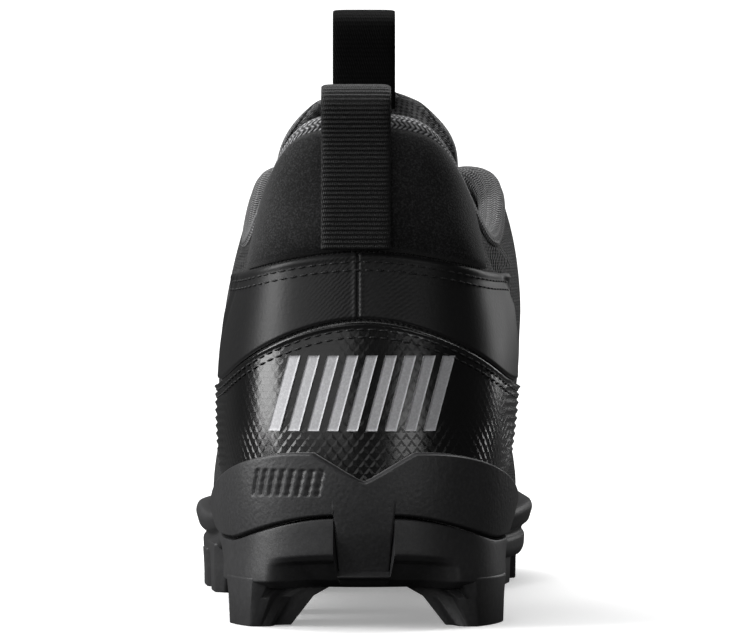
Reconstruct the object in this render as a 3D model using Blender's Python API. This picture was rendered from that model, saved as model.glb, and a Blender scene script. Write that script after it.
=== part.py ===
# American football cleat, left shoe: a moulded rubber sole with studs, a hollow upper
# with a padded collar, its overlays, a padded tongue, an insole, two webbing loops and a lace.
# The toe points along +Y, the outer (lateral) side is at -X, and the studs stand on z = 0.
import math
from collections import namedtuple

import bpy
import bmesh
import numpy as np
from mathutils import Vector

MM = 0.001

# Driving sizes of the shoe
SHOE_LENGTH = 302 * MM
BALL_WIDTH = 95 * MM
HEEL_WIDTH = 67.5 * MM
COLLAR_WIDTH = 74 * MM
COLLAR_HEIGHT = 140.5 * MM
INSTEP_HEIGHT = 70 * MM
GAP = 0.3 * MM
TRIM_LIFT = 0.5 * MM

# Upper and its padding
WALL = 2.4 * MM
COLLAR_PADDING = 6 * MM
CREST_RISE = 2.2 * MM

# Sole. The heel's side wall is plain: HEEL_WALL is its foot's distance outside the upper, less by
# HEEL_WALL_TAPER towards the arch, and it tucks under at the middle of the heel
STUD_HEIGHT = 9 * MM
PLATE_THICKNESS = 5 * MM
FLANGE_HEIGHT = 12 * MM
SOLE_MARGIN = 7 * MM
SOLE_STEP = 1.4 * MM
FLANGE_LIP = 5.8 * MM
UNDERSIDE_INSET = 3 * MM
UNDERSIDE_HOLLOW = 1.2 * MM
HEEL_TUCK = 6 * MM
HEEL_WALL = 8.4 * MM
HEEL_WALL_TAPER = 1.4 * MM

# Studs: how far below the plate they may reach, in stud heights; how deep the root sits in the plate, as a
# share of it; the cut of the corners, as a share of the narrower side; the root's inward lean, as a share
# of the flare
STUD_REACH = 1.4
STUD_BURY = 0.45
STUD_CUT = 0.28
STUD_LEAN = 0.45
STUD_INSET = 0.6 * MM

# Overlays
TRIM_DEPTH = 1.2 * MM
BAND_DEPTH = 1.0 * MM
PAD_DEPTH = 3.6 * MM
CRADLE_DEPTH = 4.0 * MM
EYESTAY_WIDTH = 15 * MM
EYESTAY_MARGIN = 1.5 * MM
EYELET_SEAT = 0.52
TOE_CAP_REACH = 40 * MM

# Heights on the heel, seen from behind
COUNTER_LOW = 32 * MM
COUNTER_TOP = 85.5 * MM
COUNTER_DROP = 17.25 * MM
BAND_TOP = 104.5 * MM
BAND_DROP = 5 * MM
PAD_TOP_MARGIN = 1.0 * MM
HORN_HEIGHT = 48.8 * MM
HORN_OFFSET = 12 * MM
NOTCH_HEIGHT = 41 * MM
SPINE_HALF_WIDTH = 6 * MM
SHOULDER_RISE = 7 * MM
WING_DROP = 21 * MM
SPINE_FOOT = 18.6 * MM

# Tongue, insole, loops and lace
TONGUE_THICKNESS = 5 * MM
TONGUE_TUCK = 14 * MM
TONGUE_GAP = 1.9 * MM
TONGUE_CROWN = 1.5 * MM
TONGUE_TOP = 154 * MM
TONGUE_SHIFT = 1.2 * MM
INSOLE_THICKNESS = 4 * MM
INSOLE_CUP = 1.2 * MM
HEEL_LOOP_WIDTH = 19.5 * MM
HEEL_LOOP_OFFSET = -2.2 * MM
HEEL_LOOP_TOP = 151.5 * MM
HEEL_LOOP_FOOT = 105 * MM
TONGUE_LOOP_WIDTH = 18.5 * MM
TONGUE_LOOP_TOP = 178 * MM
TONGUE_LOOP_FOOT = 143 * MM
WEBBING = 1.5 * MM
LOOP_CLEAR = 1.6 * MM
LOOP_TAIL = 9 * MM
LOOP_STRAIGHT = 6 * MM
LACE_WIDTH = 6.5 * MM
LACE_THICKNESS = 1.6 * MM
LACE_ROWS = 5

# Ribs of the upper, from the middle of the heel along the lateral side to the toe.
# along: place of the rib's foot, as a share of the length. lateral, medial: half width there, as a share of
# the half width of heel or ball. edge_along, edge_lateral, edge_medial: the rib's top, widths as shares of
# half the collar. edge_rise: its height between instep (0) and collar (1). low_out, high_out: how far the
# two handles lean out, in half ball widths. low_up, high_down: their heights, as shares of the rib's height.
# medial_gain: how much fuller the medial side is.
Rib = namedtuple("Rib", "name along lateral medial edge_along edge_lateral edge_medial edge_rise"
                 " low_out low_up high_out high_down medial_gain")
RIBS = [
    Rib("heel", 0.023, 0.0, 0.0, 0.053, 0.0, 0.0, 1.0, 0.15, 0.30, 0.06, 0.38, 1.0),
    Rib("heel_corner", 0.041, 0.62, 0.62, 0.058, 0.41, 0.41, 0.978, 0.15, 0.30, 0.07, 0.38, 1.0),
    Rib("heel_side", 0.093, 0.905, 0.92, 0.0895, 0.66, 0.69, 0.83, 0.19, 0.30, 0.19, 0.38, 1.0),
    Rib("dip", 0.172, 1.01, 1.0, 0.1655, 0.90, 0.98, 0.555, 0.21, 0.32, 0.17, 0.30, 1.05),
    Rib("ankle", 0.265, 1.06, 0.97, 0.258, 0.90, 1.09, 0.70, 0.25, 0.33, 0.22, 0.28, 1.10),
    Rib("lobe", 0.325, 1.03, 0.88, 0.322, 0.775, 0.98, 0.84, 0.29, 0.30, 0.27, 0.26, 1.16),
    Rib("throat_top", 0.371, 1.005, 0.82, 0.358, 0.53, 0.59, 0.81, 0.32, 0.29, 0.48, 0.22, 1.14),
    Rib("waist", 0.437, 0.975, 0.77, 0.42, 0.45, 0.46, 0.61, 0.29, 0.30, 0.55, 0.14, 1.16),
    Rib("midfoot", 0.55, 0.955, 0.82, 0.53, 0.40, 0.40, 0.303, 0.21, 0.34, 0.60, 0.08, 1.15),
    Rib("ball", 0.69, 1.0, 0.985, 0.63, 0.31, 0.31, 0.075, 0.15, 0.40, 0.66, 0.05, 1.15),
    Rib("toe_side", 0.828, 0.875, 0.965, 0.66, 0.16, 0.16, 0.012, 0.12, 0.46, 0.80, 0.02, 1.05),
    Rib("toe_corner", 0.94, 0.45, 0.665, 0.668, 0.065, 0.065, 0.002, 0.10, 0.50, 1.05, 0.02, 1.0),
    Rib("toe", 0.98, -0.15, 0.15, 0.67, 0.0, 0.0, 0.0, 0.10, 0.50, 1.15, 0.02, 1.0),
]
LAST = len(RIBS) - 1
AROUND = 2 * LAST

# Side view of the sole. along: share of the length. clearance: underside above the floor, in stud heights.
# plate: thickness, in plate thicknesses. flange: height of the side wall above the bed, in flange heights.
Profile = namedtuple("Profile", "name along clearance plate flange")
PROFILE = [
    Profile("heel_back", 0.0, 1.20, 1.34, 0.52),
    Profile("heel", 0.13, 1.20, 1.34, 0.50),
    Profile("breast", 0.26, 1.38, 1.30, 0.48),
    Profile("arch", 0.41, 1.85, 0.90, 0.42),
    Profile("waist", 0.55, 1.15, 0.95, 0.80),
    Profile("ball", 0.69, 0.95, 1.00, 1.10),
    Profile("toes", 0.83, 1.10, 1.00, 1.12),
    Profile("toe_break", 0.93, 1.65, 1.00, 1.25),
    Profile("tip", 1.0, 2.30, 1.00, 1.15),
]

# Studs. along: share of the length. across: share of the sole's half width there, lateral negative.
# long, wide: foot of the stud on the floor. flare, deepen: how much wider and longer its root is. turn:
# degrees. splits: points on each side of its outline, more where it follows the sole's curve.
Stud = namedtuple("Stud", "name along across long wide flare deepen turn splits")
STUDS = [
    Stud("rear_lateral", 0.080, -0.87, 24, 17.5, 19, 4, 0, 3),
    Stud("rear_medial", 0.080, 0.93, 24, 17.5, 19, 4, 0, 3),
    Stud("heel_lateral", 0.215, -0.84, 18, 10, 8, 8, 3, 1),
    Stud("heel_medial", 0.215, 0.84, 18, 10, 8, 8, -3, 1),
    Stud("fore_lateral_1", 0.52, -0.93, 16, 10, 8, 8, 8, 1),
    Stud("fore_lateral_2", 0.615, -0.93, 17, 10, 8, 8, 6, 1),
    Stud("fore_lateral_3", 0.725, -0.92, 17, 10, 8, 8, -4, 1),
    Stud("fore_lateral_4", 0.83, -0.84, 16, 10, 8, 8, -18, 1),
    Stud("fore_medial_1", 0.535, 0.85, 16, 10, 8, 8, -14, 1),
    Stud("fore_medial_2", 0.64, 0.87, 17, 10, 8, 8, -10, 1),
    Stud("fore_medial_3", 0.75, 0.87, 17, 10, 8, 8, 2, 1),
    Stud("fore_medial_4", 0.85, 0.84, 16, 10, 8, 8, 16, 1),
    Stud("middle_1", 0.60, -0.06, 9, 13, 6, 6, 0, 1),
    Stud("middle_2", 0.71, 0.04, 9, 13, 6, 6, 0, 1),
    Stud("toe_lateral", 0.905, -0.30, 10, 13, 6, 6, 22, 1),
    Stud("toe_medial", 0.912, 0.46, 10, 13, 6, 6, -20, 1),
]

# Free top of the tongue. rise: share of the way from collar edge to the tongue's top. half: half width in
# half collars. lean: how far back from the lobes, in millimetres. drop, curl: how far the sides hang down
# and curl back, in millimetres.
TongueRow = namedtuple("TongueRow", "rise half lean drop curl")
TONGUE_TOP_ROWS = [
    TongueRow(0.34, 0.76, 4.0, 13.0, 9.0),
    TongueRow(0.68, 0.73, 8.5, 9.5, 8.0),
    TongueRow(0.89, 0.58, 11.0, 5.5, 5.0),
    TongueRow(1.0, 0.34, 12.0, 2.0, 1.6),
]


def clear_scene():
    """Remove whatever the file holds."""
    for item in list(bpy.data.objects):
        bpy.data.objects.remove(item, do_unlink=True)


def make_material(name, colour, roughness, metallic=0.0):
    material = bpy.data.materials.new(name)
    material.use_nodes = True
    shader = material.node_tree.nodes["Principled BSDF"]
    shader.inputs["Base Color"].default_value = (*colour, 1.0)
    shader.inputs["Roughness"].default_value = roughness
    shader.inputs["Metallic"].default_value = metallic
    return material


def smoothstep(value):
    value = np.clip(value, 0.0, 1.0)
    return value * value * (3 - 2 * value)


def periodic_spline(values):
    """Second derivatives of the closed cubic spline through evenly spaced rows."""
    count = len(values)
    system = np.zeros((count, count))
    for row in range(count):
        system[row, row] = 4
        system[row, (row - 1) % count] = 1
        system[row, (row + 1) % count] = 1
    right = 6 * (np.roll(values, 1, 0) - 2 * values + np.roll(values, -1, 0))
    return np.linalg.solve(system, right)


def spline_at(values, bends, at):
    """Value of the closed cubic spline at the given places, counted in rows."""
    count = len(values)
    start = np.floor(at).astype(int)
    part = (at - start)[..., None]
    low = start % count
    high = (start + 1) % count
    rest = 1 - part
    line = rest * values[low] + part * values[high]
    return line + ((rest ** 3 - rest) * bends[low] + (part ** 3 - part) * bends[high]) / 6


def open_spline(knots, values, at):
    """Natural cubic spline through values at rising knots."""
    count = len(knots)
    step = np.diff(knots)
    system = np.eye(count)
    right = np.zeros((count, values.shape[1]))
    for row in range(1, count - 1):
        system[row, row - 1] = step[row - 1]
        system[row, row] = 2 * (step[row - 1] + step[row])
        system[row, row + 1] = step[row]
        slope_after = (values[row + 1] - values[row]) / step[row]
        slope_before = (values[row] - values[row - 1]) / step[row - 1]
        right[row] = 6 * (slope_after - slope_before)
    bends = np.linalg.solve(system, right)
    cell = np.clip(np.searchsorted(knots, at, side="right") - 1, 0, count - 2)
    width = step[cell][:, None]
    part = (at[:, None] - knots[cell][:, None]) / width
    rest = 1 - part
    line = rest * values[cell] + part * values[cell + 1]
    return line + width ** 2 * ((rest ** 3 - rest) * bends[cell] + (part ** 3 - part) * bends[cell + 1]) / 6


PROFILE_KNOTS = np.array([row.along for row in PROFILE]) * SHOE_LENGTH
PROFILE_VALUES = np.array([
    (row.clearance * STUD_HEIGHT, row.plate * PLATE_THICKNESS, row.flange * FLANGE_HEIGHT) for row in PROFILE
])


def sole_levels(y):
    """Heights of the sole's underside, its bed and the top of its side wall at the given places."""
    y = np.asarray(y, dtype=float)
    flat = np.clip(y.ravel(), PROFILE_KNOTS[0], PROFILE_KNOTS[-1])
    read = open_spline(PROFILE_KNOTS, PROFILE_VALUES, flat)
    under = read[:, 0]
    bed = under + read[:, 1]
    top = bed + read[:, 2]
    return under.reshape(y.shape), bed.reshape(y.shape), top.reshape(y.shape)


def half_width(along):
    """Half the width that a rib's foot takes its share of, from heel to ball."""
    blend = smoothstep((along - 0.25) / 0.4)
    return 0.5 * (HEEL_WIDTH + (BALL_WIDTH - HEEL_WIDTH) * blend)


def rib_values():
    """One row for each rib around the shoe: foot, top, handles and the share of padding."""
    rows = []
    for index in range(AROUND):
        lateral = index <= LAST
        rib = RIBS[index] if lateral else RIBS[AROUND - index]
        side = -1 if lateral else 1
        share = rib.lateral if lateral else rib.medial
        edge_share = rib.edge_lateral if lateral else rib.edge_medial
        gain = 1.0 if lateral else rib.medial_gain
        height = INSTEP_HEIGHT + rib.edge_rise * (COLLAR_HEIGHT - INSTEP_HEIGHT)
        place = rib.along * SHOE_LENGTH
        bed = float(sole_levels(place)[1]) + GAP
        rise = height - bed
        rows.append((
            side * share * half_width(rib.along), place,
            side * edge_share * COLLAR_WIDTH / 2, rib.edge_along * SHOE_LENGTH, height,
            rib.low_out * gain * BALL_WIDTH / 2, rib.low_up * rise,
            rib.high_out * gain * BALL_WIDTH / 2, rib.high_down * rise,
        ))
    return np.array(rows)


RIB_VALUES = rib_values()
RIB_BENDS = periodic_spline(RIB_VALUES)


def upper_face(around, up):
    """Point on the upper's outer face. around counts ribs, up runs from the sole (0) to the top edge (1).

    Each rib is a cubic curve: its foot, a handle that leans out and up, a handle that leans out and down
    from the top edge, and the top edge itself. Handles lean along the outline's own normal.
    """
    around, up = np.broadcast_arrays(np.asarray(around, dtype=float), np.asarray(up, dtype=float))
    row = spline_at(RIB_VALUES, RIB_BENDS, around)
    reach = 0.02
    ahead = spline_at(RIB_VALUES, RIB_BENDS, around + reach)
    behind = spline_at(RIB_VALUES, RIB_BENDS, around - reach)
    step_x = ahead[..., 0] - behind[..., 0]
    step_y = ahead[..., 1] - behind[..., 1]
    size = np.hypot(step_x, step_y)
    out = np.stack([-step_y / size, step_x / size, np.zeros_like(size)], axis=-1)
    bed = sole_levels(row[..., 1])[1] + GAP
    rise = np.array([0.0, 0.0, 1.0])
    foot = np.stack([row[..., 0], row[..., 1], bed], axis=-1)
    edge = row[..., 2:5]
    low = foot + row[..., 5:6] * out + row[..., 6:7] * rise
    high = edge + row[..., 7:8] * out - row[..., 8:9] * rise
    t = up[..., None]
    s = 1 - t
    return s ** 3 * foot + 3 * s * s * t * low + 3 * s * t * t * high + t ** 3 * edge


def upper_normal(around, up):
    """Unit normal of the upper's outer face, pointing out."""
    around, up = np.broadcast_arrays(np.asarray(around, dtype=float), np.asarray(up, dtype=float))
    reach = 0.01
    across = upper_face(around + reach, up) - upper_face(around - reach, up)
    along = upper_face(around, up + reach) - upper_face(around, up - reach)
    normal = np.cross(along, across)
    return normal / np.linalg.norm(normal, axis=-1, keepdims=True)


def lifted(around, up, lift, level=False):
    """Point at a height above the upper's outer face, or inside it where the height is negative.

    A level lift goes straight outward, with no rise or fall.
    """
    lift = np.broadcast_to(np.asarray(lift, dtype=float), np.broadcast(around, up).shape)
    normal = upper_normal(around, up)
    if level:
        normal[..., 2] = 0
        normal /= np.linalg.norm(normal, axis=-1, keepdims=True)
    return upper_face(around, up) + lift[..., None] * normal


def wall_at(around, up):
    """Wall of the upper: thin below, padded towards the collar."""
    place = np.abs((np.asarray(around, dtype=float) + LAST) % AROUND - LAST)
    collar = 1 - smoothstep((place - 5.3) / 1.4)
    high = smoothstep((np.asarray(up, dtype=float) - 0.55) / 0.3)
    return WALL + (COLLAR_PADDING - WALL) * collar * high


RIB_SAMPLES = np.linspace(0, 1, 161)


def up_at_height(around, height):
    """Where along each rib the outer face reaches a height."""
    around = np.atleast_1d(np.asarray(around, dtype=float))
    height = np.broadcast_to(height, around.shape)
    found = np.empty(around.shape)
    points = upper_face(around[:, None], RIB_SAMPLES[None, :])
    for index in range(len(around)):
        found[index] = np.interp(height[index], points[index, :, 2], RIB_SAMPLES)
    return found


def up_at_length(around, length, from_edge):
    """Where along each rib a length is reached, measured from the top edge or from the sole."""
    around = np.atleast_1d(np.asarray(around, dtype=float))
    length = np.broadcast_to(length, around.shape)
    points = upper_face(around[:, None], RIB_SAMPLES[None, :])
    steps = np.linalg.norm(np.diff(points, axis=1), axis=2)
    found = np.empty(around.shape)
    for index in range(len(around)):
        run = np.concatenate([[0.0], np.cumsum(steps[index])])
        wanted = run[-1] - length[index] if from_edge else length[index]
        found[index] = np.interp(wanted, run, RIB_SAMPLES)
    return found


def build_object(name, points, faces, material, smooth=40):
    """Object from points and faces, with its faces turned outward."""
    mesh = bpy.data.meshes.new(name)
    mesh.from_pydata([tuple(point) for point in points], [], faces)
    work = bmesh.new()
    work.from_mesh(mesh)
    bmesh.ops.recalc_face_normals(work, faces=work.faces)
    work.to_mesh(mesh)
    work.free()
    mesh.shade_smooth()
    mesh.set_sharp_from_angle(angle=math.radians(smooth))
    mesh.materials.append(material)
    item = bpy.data.objects.new(name, mesh)
    bpy.context.scene.collection.objects.link(item)
    return item


def ring_faces(rings, count, closed):
    """Quads between neighbouring rings, and from the last to the first where closed."""
    faces = []
    pairs = rings if closed else rings - 1
    for ring in range(pairs):
        low = ring * count
        high = ((ring + 1) % rings) * count
        for place in range(count):
            after = (place + 1) % count
            faces.append((low + place, low + after, high + after, high + place))
    return faces


def ring_solid(name, rings, material):
    """Solid through a stack of rings, its two ends closed by a fan to their middle."""
    count = len(rings[0])
    points = [point for ring in rings for point in ring]
    faces = ring_faces(len(rings), count, False)
    for ring in (0, len(rings) - 1):
        middle = len(points)
        points.append(np.mean(rings[ring], axis=0))
        base = ring * count
        for place in range(count):
            faces.append((base + place, base + (place + 1) % count, middle))
    return build_object(name, points, faces, material)


def sheet_solid(name, front, back, material, smooth=40):
    """Solid between two grids of the same size, closed round their borders."""
    rows, columns = front.shape[:2]
    total = rows * columns
    points = list(front.reshape(-1, 3)) + list(back.reshape(-1, 3))
    faces = []
    for row in range(rows - 1):
        for column in range(columns - 1):
            first = row * columns + column
            quad = (first, first + 1, first + 1 + columns, first + columns)
            faces.append(quad)
            faces.append(tuple(total + corner for corner in reversed(quad)))
    border = [column for column in range(columns)]
    border += [row * columns + columns - 1 for row in range(1, rows)]
    border += [(rows - 1) * columns + column for column in range(columns - 2, -1, -1)]
    border += [row * columns for row in range(rows - 2, 0, -1)]
    for index, first in enumerate(border):
        after = border[(index + 1) % len(border)]
        faces.append((first, total + first, total + after, after))
    return build_object(name, points, faces, material, smooth)


def edge_round(count, least):
    """Depth across a strip: full inside, least at its two borders."""
    place = np.linspace(-1, 1, count)
    return least + (1 - least) * (1 - np.abs(place) ** 6)


def overlay(name, around, low, high, rows, lift, depth, material, least=0.45, level=False):
    """Overlay on the upper between two edges, given as places along each rib."""
    part = np.linspace(0, 1, rows)
    up = low[:, None] + (high - low)[:, None] * part[None, :]
    place = np.broadcast_to(around[:, None], up.shape)
    shape = np.minimum(edge_round(len(around), least)[:, None], edge_round(rows, least)[None, :])
    front = lifted(place, up, lift + depth * shape, level)
    back = lifted(place, up, np.full(up.shape, lift), level)
    return sheet_solid(name, front, back, material)


def fuse(name, base, others):
    """Unite objects that overlap into one solid."""
    for other in others:
        cut = base.modifiers.new("fuse", "BOOLEAN")
        cut.operation = "UNION"
        cut.solver = "EXACT"
        cut.object = other
    graph = bpy.context.evaluated_depsgraph_get()
    mesh = bpy.data.meshes.new_from_object(base.evaluated_get(graph))
    base.modifiers.clear()
    base.data = mesh
    base.name = name
    for other in others:
        bpy.data.objects.remove(other, do_unlink=True)
    return base


def both_sides(half):
    """Places around the shoe from the lateral side through the heel to the medial side."""
    half = np.asarray(half, dtype=float)
    return np.concatenate([half[:0:-1], -half])


# Places of the sole's and upper's lines, counted in ribs: closer where the heel spine ends
SPINE_EDGE = SPINE_HALF_WIDTH / (RIBS[1].lateral * HEEL_WIDTH / 2)
HEEL_LINES = [0.0, SPINE_EDGE, SPINE_EDGE + 0.08, 0.62, 0.85]
SIDE_LINES = list(np.arange(1.15, 3.9, 0.35)) + list(np.arange(3.95, LAST - 0.2, 0.5))
ALL_HALF = np.array(HEEL_LINES + SIDE_LINES + [LAST])
LINES = np.concatenate([ALL_HALF, AROUND - ALL_HALF[-2:0:-1]])


def heel_distance(around):
    """Distance from the middle of the heel, counted in ribs."""
    return np.abs((np.asarray(around, dtype=float) + LAST) % AROUND - LAST)


def flange_top(around):
    """Top of the sole's side wall: it dips behind the heel for the cradle's spine."""
    around = np.atleast_1d(np.asarray(around, dtype=float))
    y = spline_at(RIB_VALUES, RIB_BENDS, around)[..., 1]
    place = heel_distance(around)
    top = sole_levels(y)[2]
    top = top + SHOULDER_RISE * (1 - smoothstep((place - SPINE_EDGE) / 1.7))
    return np.where(place < SPINE_EDGE + 0.02, SPINE_FOOT - 2 * GAP, top)


def make_upper(material):
    levels = np.array([0.0, 0.07, 0.16, 0.27, 0.39, 0.52, 0.64, 0.75, 0.85, 0.93, 1.0])
    inner_levels = np.array([1.0, 0.92, 0.82, 0.70, 0.55, 0.38, 0.20, 0.07, 0.0])
    rings = []
    for level in levels:
        rings.append(upper_face(LINES, np.full(LINES.shape, level)))
    wall = wall_at(LINES, np.ones(LINES.shape))
    crest = lifted(LINES, np.ones(LINES.shape), -wall / 2)
    crest[:, 2] += CREST_RISE * wall / COLLAR_PADDING
    rings.append(crest)
    for level in inner_levels:
        up = np.full(LINES.shape, level)
        rings.append(lifted(LINES, up, -wall_at(LINES, up)))
    rings[-1][:, 2] = rings[0][:, 2]
    points = [point for ring in rings for point in ring]
    faces = ring_faces(len(rings), len(LINES), True)
    return build_object("upper", points, faces, material)


def sole_outline(offset):
    """Foot of the upper pushed outward in plan by an offset, the same all round or one for each line."""
    row = spline_at(RIB_VALUES, RIB_BENDS, LINES)
    reach = 0.02
    step = spline_at(RIB_VALUES, RIB_BENDS, LINES + reach) - spline_at(RIB_VALUES, RIB_BENDS, LINES - reach)
    size = np.hypot(step[:, 0], step[:, 1])
    out = np.stack([-step[:, 1] / size, step[:, 0] / size], axis=1)
    return row[:, 0:2] + np.reshape(offset, (-1, 1)) * out


def make_plate(material):
    """Sole without studs: underside, stepped side wall, flange and bed, as a stack of rings."""
    middle = np.array([0.0, SHOE_LENGTH / 2])
    place = heel_distance(LINES)
    tuck = HEEL_TUCK * (1 - smoothstep(place / 1.3))
    stepped = smoothstep((place - 2.2) / 1.5)[:, None]
    bottom = sole_outline(SOLE_MARGIN - UNDERSIDE_INSET - tuck)
    rings = []
    for share in (0.15, 0.45, 0.75, 1.0):
        plan = middle + share * (bottom - middle)
        under = sole_levels(plan[:, 1])[0]
        hollow = UNDERSIDE_HOLLOW * (1 - share ** 2)
        rings.append(np.column_stack([plan, under + hollow]))
    top = flange_top(LINES)
    edge_under = sole_levels(bottom[:, 1])[0]
    plain = HEEL_WALL - HEEL_WALL_TAPER * smoothstep((place - 1.9) / 1.3)
    crown = lifted(LINES, up_at_height(LINES, top), GAP + FLANGE_LIP, True)[:, 0:2]
    lean = crown - sole_outline(plain)
    for step, rise, tucked in ((1.2, 0.12, 1.0), (1.0, 0.36, 0.45), (1.75, 0.42, 0.27), (1.7, 0.50, 0.12)):
        plain_plan = sole_outline(plain - tucked * tuck) + rise * lean
        plan = plain_plan + stepped * (sole_outline(SOLE_MARGIN - step * SOLE_STEP) - plain_plan)
        rings.append(np.column_stack([plan, edge_under + rise * (top - edge_under)]))
    bed = sole_levels(spline_at(RIB_VALUES, RIB_BENDS, LINES)[:, 1])[1]
    for lip, rise in ((0.9, 0.60), (1.0, 0.86), (0.8, 1.0)):
        height = np.maximum(edge_under + rise * (top - edge_under), bed + GAP)
        ring = lifted(LINES, up_at_height(LINES, height), GAP + lip * FLANGE_LIP, True)
        plain_plan = sole_outline(plain) + rise * lean
        ring[:, 0:2] = plain_plan + stepped * (ring[:, 0:2] - plain_plan)
        ring[:, 2] = edge_under + rise * (top - edge_under)
        rings.append(ring)
    for rise in (1.0, 0.6, 0.28, 0.0):
        height = bed + GAP + rise * (top - bed - GAP)
        rings.append(lifted(LINES, up_at_height(LINES, height), GAP, True))
    rings[-1][:, 2] = bed
    inner = sole_outline(-WALL - GAP)
    for share in (1.0, 0.75, 0.45, 0.15):
        plan = middle + share * (inner - middle)
        rings.append(np.column_stack([plan, sole_levels(plan[:, 1])[1]]))
    return ring_solid("plate", rings, material)


def half_sole(along, side):
    """Half width of the sole's underside on one side at a share of the length."""
    plan = sole_outline(SOLE_MARGIN - UNDERSIDE_INSET)
    mine = plan[plan[:, 0] * side > 0]
    order = np.argsort(mine[:, 1])
    return float(np.interp(along * SHOE_LENGTH, mine[order, 1], np.abs(mine[order, 0])))


def fit_inside(plan, offset):
    """Plan points, those outside the sole's outline moved onto it."""
    rim = sole_outline(offset)
    nearest = np.argmin(np.linalg.norm(plan[:, None] - rim[None], axis=2), axis=1)
    out = sole_outline(offset + MM)[nearest] - rim[nearest]
    over = np.einsum("ij,ij->i", plan - rim[nearest], out) / np.linalg.norm(out, axis=1) ** 2
    return plan - np.maximum(over, 0)[:, None] * out


def make_stud(stud, material):
    """Tapered block with cut corners, wider inward at its root. Its foot is flat, and the toe studs hang."""
    side = -1 if stud.across < 0 else 1
    x = stud.across * half_sole(stud.along, side)
    y = stud.along * SHOE_LENGTH
    under = float(sole_levels(y)[0])
    foot = max(0.0, under - STUD_REACH * STUD_HEIGHT)
    root = under + STUD_BURY * PLATE_THICKNESS
    angle = math.radians(stud.turn)
    cosine, sine = math.cos(angle), math.sin(angle)
    rings = []
    for height, extra in ((foot, 0.0), (foot + 0.55 * (root - foot), 0.35), (root, 1.0)):
        half_x = (stud.wide + extra * stud.flare) * MM / 2
        half_y = (stud.long + extra * stud.deepen) * MM / 2
        cut = 2 * STUD_CUT * min(half_x, half_y)
        corners = []
        for sign_x, sign_y, first in ((1, 1, 0), (-1, 1, 1), (-1, -1, 0), (1, -1, 1)):
            pair = [(sign_x * half_x, sign_y * (half_y - cut)), (sign_x * (half_x - cut), sign_y * half_y)]
            corners += pair[::-1] if first else pair
        middle = x - side * STUD_LEAN * extra * stud.flare * MM if abs(stud.across) > 0.2 else x
        ring = np.array([(middle + a * cosine - b * sine, y + a * sine + b * cosine) for a, b in corners])
        part = np.arange(stud.splits)[None, :, None] / stud.splits
        ring = (ring[:, None] + part * (np.roll(ring, -1, 0) - ring)[:, None]).reshape(-1, 2)
        ring = fit_inside(ring, HEEL_WALL - STUD_INSET * (1.4 - extra))
        rings.append(np.column_stack([ring, np.full(len(ring), height)]))
    return ring_solid(stud.name, rings, material)


def make_outsole(material):
    plate = make_plate(material)
    studs = [make_stud(stud, material) for stud in STUDS]
    return fuse("outsole", plate, studs)


def make_insole(material):
    """Thin sheet on the sole's bed, a little cupped, clear of the wall all round."""
    clear = WALL + 2 * GAP
    middle = np.array([0.0, SHOE_LENGTH / 2])
    rings = []
    rim = sole_outline(-clear)[::2]
    thin = INSOLE_THICKNESS - INSOLE_CUP
    seat = 3.5 * GAP
    for share, lift in ((0.15, seat), (0.45, seat), (0.75, seat), (1.0, seat),
                        (1.0, INSOLE_THICKNESS), (0.88, thin), (0.45, thin)):
        plan = middle + share * (rim - middle)
        rings.append(np.column_stack([plan, sole_levels(plan[:, 1])[1] + lift]))
    return ring_solid("insole", rings, material)


def fine_lines(limit, step):
    """Even places from the middle of the heel to a limit on both sides."""
    count = int(round(limit / step))
    return both_sides(np.linspace(0, limit, count + 1))


def counter_top(around):
    """Top of the counter: highest behind, falling towards the sides."""
    return COUNTER_TOP - COUNTER_DROP * smoothstep(heel_distance(around) / 3.2)


def band_top(around):
    return BAND_TOP - BAND_DROP * smoothstep(heel_distance(around) / 2.6)


def make_counter(material):
    """Moulded counter from the cradle up to the band."""
    around = fine_lines(3.3, 0.22)
    low = up_at_height(around, COUNTER_LOW)
    high = up_at_height(around, counter_top(around) - 2 * GAP)
    return overlay("heel_counter", around, low, high, 6, TRIM_LIFT, TRIM_DEPTH, material)


def make_band(material):
    around = fine_lines(3.3, 0.22)
    low = up_at_height(around, counter_top(around) + GAP)
    high = up_at_height(around, band_top(around) - GAP)
    return overlay("heel_band", around, low, high, 4, TRIM_LIFT, BAND_DEPTH, material)


def make_pad(material):
    """Padded panel from the band to the collar's top, thickest in its middle."""
    around = fine_lines(2.36, 0.22)
    low = up_at_height(around, band_top(around) + GAP)
    high = up_at_length(around, PAD_TOP_MARGIN, True)
    high = np.maximum(high, low + 0.04)
    rows = 7
    part = np.linspace(0, 1, rows)
    up = low[:, None] + (high - low)[:, None] * part[None, :]
    place = np.broadcast_to(around[:, None], up.shape)
    across = 1 - np.abs(np.linspace(-1, 1, len(around))) ** 4
    height = 1 - np.abs(np.linspace(-1, 1, rows)) ** 4
    shape = 0.25 + 0.75 * across[:, None] * height[None, :]
    front = lifted(place, up, TRIM_LIFT + PAD_DEPTH * shape)
    back = lifted(place, up, np.full(up.shape, TRIM_LIFT))
    return sheet_solid("collar_pad", front, back, material)


def cradle_top(around):
    """Two horns with a V notch between them, falling along the sides to the sole."""
    x = np.abs(spline_at(RIB_VALUES, RIB_BENDS, around)[..., 0])
    place = heel_distance(around)
    notch = NOTCH_HEIGHT + (HORN_HEIGHT - NOTCH_HEIGHT) * np.clip(x / HORN_OFFSET, 0, 1)
    wing = HORN_HEIGHT - WING_DROP * smoothstep((place - 0.7) / 3.6)
    return np.where(place < 0.75, np.minimum(notch, wing), wing)


def cradle_foot(around):
    place = heel_distance(around)
    wall = np.interp(place, ALL_HALF, flange_top(ALL_HALF))
    return np.where(place < SPINE_EDGE - 0.01, SPINE_FOOT, wall + 2 * GAP)


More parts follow.
